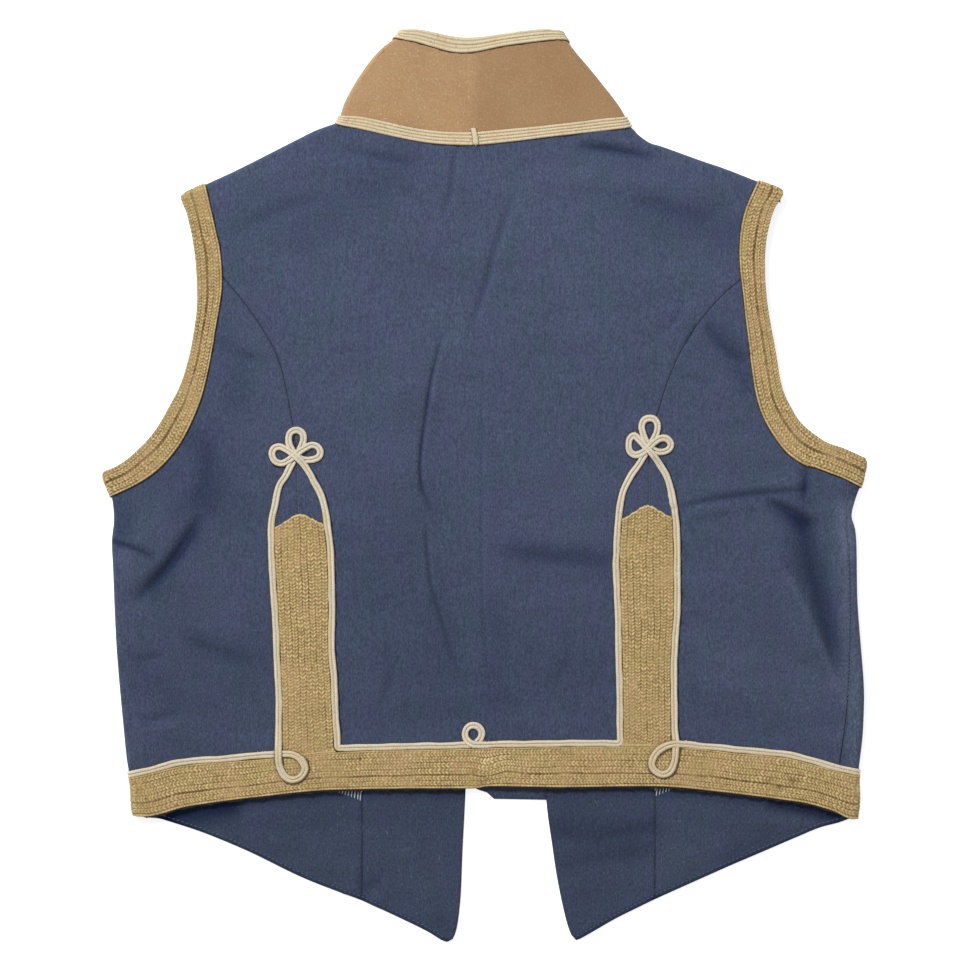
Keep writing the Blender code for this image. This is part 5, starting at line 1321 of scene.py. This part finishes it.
def brushed_cotton(slot):
    """Camel cotton with light slanting slubs, and painted shade over the right half."""
    made = Look(slot + "_finish", slot, 0.9, 0.15)
    slub = made.spots(1.0, 7.0, 2.0, 0.56, 0.76, turn=np.radians(-50))
    grain = made.spots(0.9, 1.2, 2.0, 0.3, 0.7)
    colour = made.mix(made.spots(30, 40, 3.0, 0.35, 0.65), linear(170, 134, 96), linear(181, 147, 108))
    colour = made.cover(colour, slub, 0.22, linear(212, 182, 142))
    colour = made.cover(colour, grain, 0.5, linear(148, 113, 76))
    colour = made.cover(colour, made.spots(1.1, 1.5, 1.0, 0.6, 0.78), 0.5, linear(212, 184, 148))
    # Painted shade over the collar's right half
    darker = made.mix(0.4, colour, linear(132, 100, 68))
    colour = made.mix(made.level(made.place(0), -9.0, -2.5), colour, darker)
    made.finish(colour, made.sum_of(grain, slub), 0.08)
    return made


def thread(name, slot, shadow_lip, valley, middle, top, roughness, patches, specks, inside=None):
    """Yarn with painted shade in the gaps between its raised parts and painted highlight on their tops, soft
    patches and small specks, and painted shadow on the thin dark bands at its sides.
    """
    made = Look(name, slot, roughness, 0.1)
    crown = made.attribute("crown")
    strand = made.spots(0.8, 1.2, 2.0, 0.3, 0.7)
    speck = made.noise(1.5, 1.9, 1.0)
    # Painted shade in the gaps and painted highlight on the tops, by the relief's height
    colour = made.mix(made.level(crown, 0.05, 0.6), valley, middle)
    colour = made.mix(made.level(crown, 0.55, 1.0), colour, top)
    if inside:
        inner = made.attribute("inner")
        colour = made.cover(colour, inner, 0.75, inside)
        shadow_lip = made.mix(inner, shadow_lip, INNER_SHADOW_LIP)
    for size, tone, share in patches:
        colour = made.cover(colour, made.spots(size, 1.4 * size, 2.0, 0.48, 0.66), share, tone)
    colour = made.cover(colour, made.level(speck, 0.38, 0.26), specks, valley)
    colour = made.cover(colour, made.level(speck, 0.62, 0.76), specks, top)
    colour = made.cover(colour, strand, 0.2, valley)
    # Painted shadow on the thin dark bands at the sides, where the relief is below 0
    made.finish(made.mix(made.level(crown, -0.15, -0.6), colour, shadow_lip), strand, 0.12)
    return made


def plain(name, slot, *colour):
    made = Look(name, slot, 0.8)
    light = linear(*colour)
    grain = made.spots(1.0, 1.4, 1.0, 0.3, 0.7)
    mixed = made.cover(light, grain, 0.5, tuple(0.75 * part for part in light))
    made.tree.links.new(mixed, made.shader.inputs["Base Color"])
    return made


# Thread finishes give the colours of the painted shadow at the sides, the painted shade in the gaps, the
# middle, and the painted highlight on top; the first here is a lighter painted shadow where the cord lies
# over the braid
INNER_SHADOW_LIP = linear(140, 113, 74)
DENIM_OUT = denim("denim_outside", linear(47, 61, 81), linear(53, 57, 86), linear(98, 109, 134), 0.85, 0.92)
DENIM_IN = denim("denim_inside", linear(40, 53, 71), linear(44, 50, 76), linear(86, 97, 119), 0.94, 0.85)
COTTON = brushed_cotton("collar_cotton")
GOLD = thread(
    "gold_braid_finish", "gold_braid",
    linear(44, 34, 26), linear(84, 58, 18), linear(190, 163, 108), linear(237, 214, 161), 0.6,
    ((9.0, linear(176, 158, 98), 0.4), (14.0, linear(196, 158, 116), 0.35),
     (40.0, linear(168, 140, 92), 0.3)), 0.5,
)
CREAM = thread(
    "cream_soutache_finish", "cream_soutache",
    linear(50, 48, 60), linear(168, 148, 116), linear(205, 193, 168), linear(225, 216, 197), 0.7,
    ((6.0, linear(212, 192, 174), 0.45), (9.0, linear(200, 199, 176), 0.5)), 0.45, linear(204, 183, 138),
)
COLLAR_CREAM = thread(
    "collar_soutache_finish", "cream_soutache",
    linear(96, 70, 42), linear(158, 136, 100), linear(203, 187, 152), linear(224, 210, 178), 0.7,
    ((6.0, linear(212, 198, 164), 0.5), (11.0, linear(206, 178, 140), 0.4)), 0.6,
)
DARK_THREAD = plain("dark_thread_finish", "denim_outside", 42, 50, 68)
BLUE_THREAD = plain("blue_thread_finish", "denim_inside", 86, 99, 126)
WHITE_THREAD = plain("white_thread_finish", "denim_inside", 176, 184, 198)
DENIM_THREAD = plain("denim_thread_finish", "denim_outside", 80, 88, 106)
FRAYED = plain("frayed_end_finish", "cream_soutache", 206, 184, 148)

ARM_EDGE_LEFT = inset(fine(ARMHOLE_LEFT), -1, BRAID_CLOTH_INSET)
ARM_EDGE_RIGHT = inset(fine(ARMHOLE_RIGHT), 1, BRAID_CLOTH_INSET)
WHOLE = slice(None)


def back_center():
    """Centre back, with flaps that turn under at the shoulders."""
    shoulder_left = SHOULDER_LEFT.tangent_line(*SHOULDER_END_LEFT)
    shoulder_right = SHOULDER_RIGHT.tangent_line(*SHOULDER_END_RIGHT)
    top = np.vstack([shoulder_left, inset(fine(NECK_SEAM), -1), shoulder_right])
    seam_left = inset(fine(BACK_SEAM_LEFT), -1)
    seam_right = inset(fine(BACK_SEAM_RIGHT), 1)
    left = np.vstack([seam_left, stretch(ARM_EDGE_LEFT, seam_left[-1], top[0])[1:]])
    right = np.vstack([seam_right, stretch(ARM_EDGE_RIGHT, seam_right[-1], top[-1])[1:]])
    whole = length_of(top)
    ends = length_of(shoulder_left) / whole, 1 - length_of(shoulder_right) / whole
    u = spread(whole, *ends, closer=(CLOSER_ACROSS,))
    v = spread(length_of(left), closer=(CLOSER_UP,))
    snaps = (("top", SHOULDER_LEFT, u <= ends[0] + 1e-9), ("top", SHOULDER_RIGHT, u >= ends[1] - 1e-9))
    plan = folded_patch(hem_line(left[0][0], right[0][0]), top, left, right, u, v, snaps)
    sheets = [(on_body, plan, 1)]
    for _, fold, kept in snaps:
        sheets.append((on_body, fold.roll_columns(plan[-1][kept], SHOULDER_TURN), 1))
    return cloth("back_center", sheets, DENIM_OUT)


def left_fold_edge():
    arm = ARM_EDGE_LEFT[LEFT.past(ARM_EDGE_LEFT) < 0]
    return LEFT.tangent_line(BACK_FOOT_LEFT, arm[0][1], 2 * FOLD_STEPS)


def back_side_left():
    """Side back that goes round the side fold to its seam underneath."""
    seam = inset(fine(BACK_SEAM_LEFT), 1)
    fold_edge = left_fold_edge()
    top = stretch(ARM_EDGE_LEFT, fold_edge[-1], seam[-1])
    hem = hem_line(fold_edge[0][0], seam[0][0])
    u, v = cells(top, SIDE_CELL), cells(seam, SIDE_CELL)
    plan = folded_patch(hem, top, fold_edge, seam, u, v, (("left", LEFT, WHOLE),))
    sheets = [(on_body, plan, 1), (on_body, LEFT.roll_columns(plan[:, 0], SIDE_TURN), 1)]
    return cloth("back_side_left", sheets, DENIM_OUT)


def back_side_right():
    """Side back whose side seam lies on top, just inside the fold."""
    seam = inset(fine(BACK_SEAM_RIGHT), -1)
    side = inset(fine(SIDE_SEAM_RIGHT), 1)
    top = stretch(ARM_EDGE_RIGHT, seam[-1], side[-1])
    hem = hem_line(seam[0][0], side[0][0])
    plan = patch(hem, top, seam, side, cells(top, SIDE_CELL), cells(seam, SIDE_CELL))
    return cloth("back_side_right", [(on_body, plan, 1)], DENIM_OUT)


def under_shoulder(fold, ends, corner):
    """The front's shoulder edge beside the end of the back's flap, from or to a corner at this x."""
    points = fold.tangent_line(*ends)
    points[:, 1] -= (SHOULDER_TURN + GAP) / fold.lean
    kept = points[points[:, 0] > corner] if corner < 0 else points[points[:, 0] < corner]
    end = [[corner, np.interp(corner, points[:, 0], points[:, 1])]]
    return np.vstack([end, kept] if corner < 0 else [kept, end])


def front_center(name, side, seam, arm, fold, ends, neck, centre, bottom):
    """The centre piece of a front, on the surface. Its side is -1 for the left one and 1 for the right."""
    arm = fine(arm)
    outer = np.vstack([inset(fine(seam), side), arm[1:]])
    across = (under_shoulder(fold, ends, arm[-1][0]), inset(fine(neck), -1))
    top = np.vstack(across[::-side])
    left, right = (outer, fine(centre))[::-side]
    plan = patch(fine(bottom), top, left, right, cells(top, FRONT_CELL), cells(outer, FRONT_CELL))
    return cloth(name, [(on_floor, plan, 1)], DENIM_IN)


def front_left_side():
    """The left front's side piece, whose outer edge meets the back's side under the fold."""
    edge = left_fold_edge()
    head = (np.interp(FRONT_TOP_LEFT, edge[:, 1], edge[:, 0]), FRONT_TOP_LEFT)
    bottom, top = fine(FRONT_EDGE_LEFT), fine(FRONT_ARMHOLE_LEFT)
    side = np.vstack([bottom[0], FRONT_CORNER_LEFT, np.vstack([edge[1:-1], head]) + (SIDE_TURN + GAP, 0)])
    seam = inset(fine(FRONT_SEAM_LEFT), 1)
    plan = patch(bottom, top, side, seam, cells(bottom, FRONT_CELL), cells(seam, FRONT_CELL))
    return cloth("front_left_side", [(on_floor, plan, 1)], DENIM_IN)


def front_right_side():
    """The right front's side piece, which comes round the fold to the seam on top."""
    seam = inset(fine(FRONT_SEAM_RIGHT), -1)
    fold_edge = RIGHT.tangent_line(FRONT_FOOT_RIGHT, FRONT_TOP_RIGHT, 2 * FOLD_STEPS)
    bottom, top = fine(FRONT_EDGE_RIGHT), fine(FRONT_ARMHOLE_RIGHT)
    v = cells(seam, FRONT_CELL)
    snap = (("right", RIGHT, WHOLE),)
    under = folded_patch(bottom, top, seam, fold_edge, cells(bottom, FRONT_CELL), v, snap)
    edge = under[:, -1]
    side = fine(SIDE_SEAM_RIGHT)
    side = inset(side[(side[:, 1] >= SIDE_SEAM_RIGHT[0][1]) & (side[:, 1] <= FRONT_TOP_RIGHT)], -1)
    bottom, top = (straight(side[k], edge[k]) for k in (0, -1))
    over = folded_patch(bottom, top, side, edge, cells(bottom), v, snap)
    over[:, -1] = edge
    sheets = [(on_floor, under, -1), (on_body, RIGHT.roll_columns(edge), 1), (on_body, over, 1)]
    return cloth("front_right_side", sheets, DENIM_IN)


def front_underlap():
    """Narrow underlap beside the right front's centre edge."""
    edge = inset(fine(CENTRE_EDGE_RIGHT), 1, UNDERLAP_ROOM)
    right = between_heights(edge, UNDERLAP_EDGE[0][1] - UNDERLAP_RISE, UNDERLAP_TOP)
    left = fine(UNDERLAP_EDGE)
    bottom, top = (straight(left[k], right[k]) for k in (0, -1))
    plan = patch(bottom, top, left, right, cells(bottom), cells(left))
    return cloth("front_underlap", [(on_floor, plan, 1)], DENIM_IN)


def collar():
    """One band: across the back on top, round both folds, and down to the centre front underneath."""
    base = fine(COLLAR_BASE)
    base = base[(COLLAR_LEFT.past(base) < 0) & (COLLAR_RIGHT.past(base) < 0)]
    left = COLLAR_LEFT.tangent_line(base[0][1], COLLAR_CORNER_LEFT)
    right = COLLAR_RIGHT.tangent_line(base[-1][1], COLLAR_CORNER_RIGHT)
    top = stretch(inset(fine(COLLAR_TOP), -1, BRAID_CLOTH_INSET), left[-1], right[-1])
    v = cells(left)
    snaps = (("left", COLLAR_LEFT, WHOLE), ("right", COLLAR_RIGHT, WHOLE))
    plan = folded_patch(base, top, left, right, cells(base), v, snaps)
    sheets = [(on_collar, plan, 1)]
    for fold, column in ((COLLAR_LEFT, 0), (COLLAR_RIGHT, -1)):
        sheets.append((on_collar, fold.roll_columns(plan[:, column]), 1))
    for column, step, neck, rise in (
        (0, 1, NECK_UNDER_LEFT, COLLAR_UNDER_TOP_LEFT), (-1, -1, NECK_UNDER_RIGHT, COLLAR_UNDER_TOP_RIGHT)
    ):
        edge = plan[:, column]
        neck = np.vstack([edge[:1], inset(fine(neck), 1)[::step]])
        rise = np.vstack([edge[-1:], fine(rise)[::step][1:]])
        sides = (edge, straight(neck[-1], rise[-1]))[::step]
        neck, rise = neck[::step], rise[::step]
        under = patch(neck, rise, *sides, cells(neck), v)
        under[:, column] = edge
        sheets.append((on_floor, under, -1))
    return cloth("collar", sheets, COTTON)


def sewing():
    """Top stitching of the fronts, seam stitches, the side seam's dots and the white bars."""
    left = np.vstack([fine(FRONT_EDGE_LEFT), fine(FRONT_POINT_LEFT)[1:]])
    right = np.vstack([fine(FRONT_POINT_RIGHT), fine(FRONT_EDGE_RIGHT)[1:]])
    edges = inset(left, 1, TOP_STITCH_IN)[6:-20], inset(right, 1, TOP_STITCH_IN)[20:-6]
    stitches("front_top_stitches", [sewn_line(on_floor, edge) for edge in edges], TOP_STITCH, BLUE_THREAD)

    seams, closed = [], []
    for seam in (FRONT_SEAM_LEFT, FRONT_SEAM_RIGHT):
        line = between_heights(fine(seam), -np.inf, FRONTS_SHOW_BELOW)
        seams.append(sewn_line(on_floor, line, FRONT_SEAM_LIFT))
    # Painted shadow at the joint of the underlap and the right front: a sunken line of dark stitches
    beside = between_heights(fine(CENTRE_EDGE_RIGHT), UNDERLAP_EDGE[0][1], FRONTS_SHOW_BELOW)
    seams.append(sewn_line(on_floor, beside, UNDERLAP_LIFT))
    side = fine(SIDE_SEAM_RIGHT)
    closed.append(sewn_line(on_body, between_heights(side, SIDE_DOTS[1], np.inf), SIDE_SEAM_LIFT))
    for seam in (BACK_SEAM_LEFT, BACK_SEAM_RIGHT):
        line = fine(seam)
        seams.append(sewn_line(on_body, between_heights(line, SEAMS_OPEN_ABOVE, np.inf), BACK_SEAM_LIFT))
        closed.append(sewn_line(on_body, between_heights(line, *BEHIND_KNOTS), KNOT_SEAM_LIFT))
    stitches("seam_stitches", seams, SEAM_STITCH, DARK_THREAD)
    stitches("seam_fill", closed, FILL_STITCH, DENIM_THREAD)
    dots = sewn_line(on_body, between_heights(side, *SIDE_DOTS), DOTS_LIFT)
    stitches("side_seam_stitches", [dots], DOT_STITCH, DENIM_THREAD)

    bars = np.array([*WHITE_BARS_LEFT, *WHITE_BARS_RIGHT])
    tops = np.where(bars[:, 0] < 0, BAR_TOP_LEFT, BAR_TOP_RIGHT)
    middle = np.stack([bars[:, 0], (bars[:, 1] + tops) / 2], axis=1)
    places, ups = raised(on_floor, middle, 0.1)
    halves = np.stack([np.full(len(bars), BAR_LEAN), (tops - bars[:, 1]) / 2, 0 * tops], axis=1)
    capsules("white_bars", places, halves, ups, BAR_RADIUS, WHITE_THREAD)


def trim_joint():
    """The short tape over the joint of the collar's base trim, with frayed thread ends beside it."""
    along = shares(16)[:, None]
    y = JOINT_TOP + along * (JOINT_FOOT - JOINT_TOP)
    x = JOINT_X + 1.5 * (along - 0.5) + 0.35 * np.sin(3.0 * along)
    t = np.array(JOINT_COLUMNS)[None, :]
    plan = np.stack(np.broadcast_arrays(x + (t - 0.5) * JOINT_WIDTH, y), axis=-1)
    rise = soutache_rows(t, y, 1) * (1 + 0.1 * np.sin(5 * y))
    lifts = np.full(len(y), CORD_HEIGHTS[1] - 0.1)
    solid_strip("trim_joint", on_collar, plan, rise, (0.1, 0.6), COLLAR_CREAM, (0.15, 0.15), lifts)
    ends = np.array(FRAYED_ENDS)
    places, ups = raised(on_collar, ends[:, :2], CORD_HEIGHTS[1] + 0.2)
    turns = ends[:, 2]
    halves = np.stack([np.cos(turns), np.sin(turns), 0 * turns], axis=1) * FRAY_HALF
    capsules("frayed_ends", places, halves, ups, FRAY_RADIUS, FRAYED)


def studio():
    """Pale floor, soft light from above and the upper left, and the camera straight above."""
    data = bpy.data.meshes.new("floor")
    corners = ((-1, -1), (1, -1), (1, 1), (-1, 1))
    data.from_pydata([(FLOOR_HALF * x, FLOOR_HALF * y, FLOOR_DROP) for x, y in corners], [], [(0, 1, 2, 3)])
    paper = bpy.data.materials.new("paper")
    paper.use_nodes = True
    set_inputs(paper.node_tree.nodes["Principled BSDF"], {
        "Base Color": (0.93, 0.93, 0.93, 1), "Roughness": 1.0, "Emission Color": (1, 1, 1, 1),
        "Emission Strength": FLOOR_GLOW,
    })
    data.materials.append(paper)
    floor = add_object("floor", data)
    for name, place, width, power in LIGHTS:
        light = bpy.data.lights.new(name, "AREA")
        light.shape = "DISK"
        light.size = width
        light.energy = power
        lamp = add_object(name, light)
        lamp.location = place
        lamp.rotation_euler = (-Vector(place)).to_track_quat("-Z", "Y").to_euler()
    world = bpy.data.worlds.new("studio")
    world.use_nodes = True
    set_inputs(world.node_tree.nodes["Background"], {"Color": (1.0, 1.0, 1.0, 1), "Strength": SKY})
    bpy.context.scene.world = world
    lens = bpy.data.cameras.new("camera")
    lens.lens = CAMERA_LENS
    lens.sensor_width = 36.0
    lens.clip_end = 20.0
    camera = add_object("camera", lens)
    camera.location = CAMERA_PLACE
    bpy.context.scene.camera = camera
    bpy.context.scene.view_settings.view_transform = "Standard"


def main():
    studio()
    back_center()
    back_side_left()
    back_side_right()
    front_center("front_left_center", -1, FRONT_SEAM_LEFT, FRONT_ARMHOLE_LEFT_UPPER, SHOULDER_LEFT,
                 SHOULDER_END_LEFT, NECK_UNDER_LEFT, CENTRE_EDGE_LEFT, FRONT_POINT_LEFT)
    front_left_side()
    front_center("front_right_center", 1, FRONT_SEAM_RIGHT, FRONT_ARMHOLE_RIGHT_UPPER, SHOULDER_RIGHT,
                 SHOULDER_END_RIGHT, NECK_UNDER_RIGHT, CENTRE_EDGE_RIGHT, FRONT_POINT_RIGHT)
    front_right_side()
    front_underlap()
    collar()
    collar_trim("collar_top_trim", (COLLAR_TOP, COLLAR_TOP_INNER))
    collar_trim("collar_base_trim", (BASE_TRIM_TOP, BASE_TRIM_BOTTOM))
    edges = ARMHOLE_LEFT, ARMHOLE_LEFT_INNER
    braid("armhole_braid_left", (LEFT, SHOULDER_LEFT), edges, ARMHOLE_BANDS, ARMHOLE_SHADOW_SKIRTS, -1)
    edges = ARMHOLE_RIGHT, ARMHOLE_RIGHT_INNER
    braid("armhole_braid_right", (RIGHT, SHOULDER_RIGHT), edges, ARMHOLE_BANDS, ARMHOLE_SHADOW_SKIRTS, 1)
    edges = moved(HEM_TOP, -CORD_WIDTH - GAP), HEM_EDGE
    braid("hem_braid", (LEFT, RIGHT), edges, HEM_BANDS, (SHADOW_SKIRT, HEM_SHADOW_SKIRT))
    panel("panel_braid_left", PANEL_ARM_LEFT_UP, PANEL_ARM_LEFT_DOWN, (-24.9, -22.8), -15.3, (0, 1.7))
    panel("panel_braid_right", PANEL_ARM_RIGHT_UP, PANEL_ARM_RIGHT_DOWN, (-19.8, -18.8), -10.0, (1.7, 0))
    trim_joint()
    soutache_cord()
    sewing()


main()
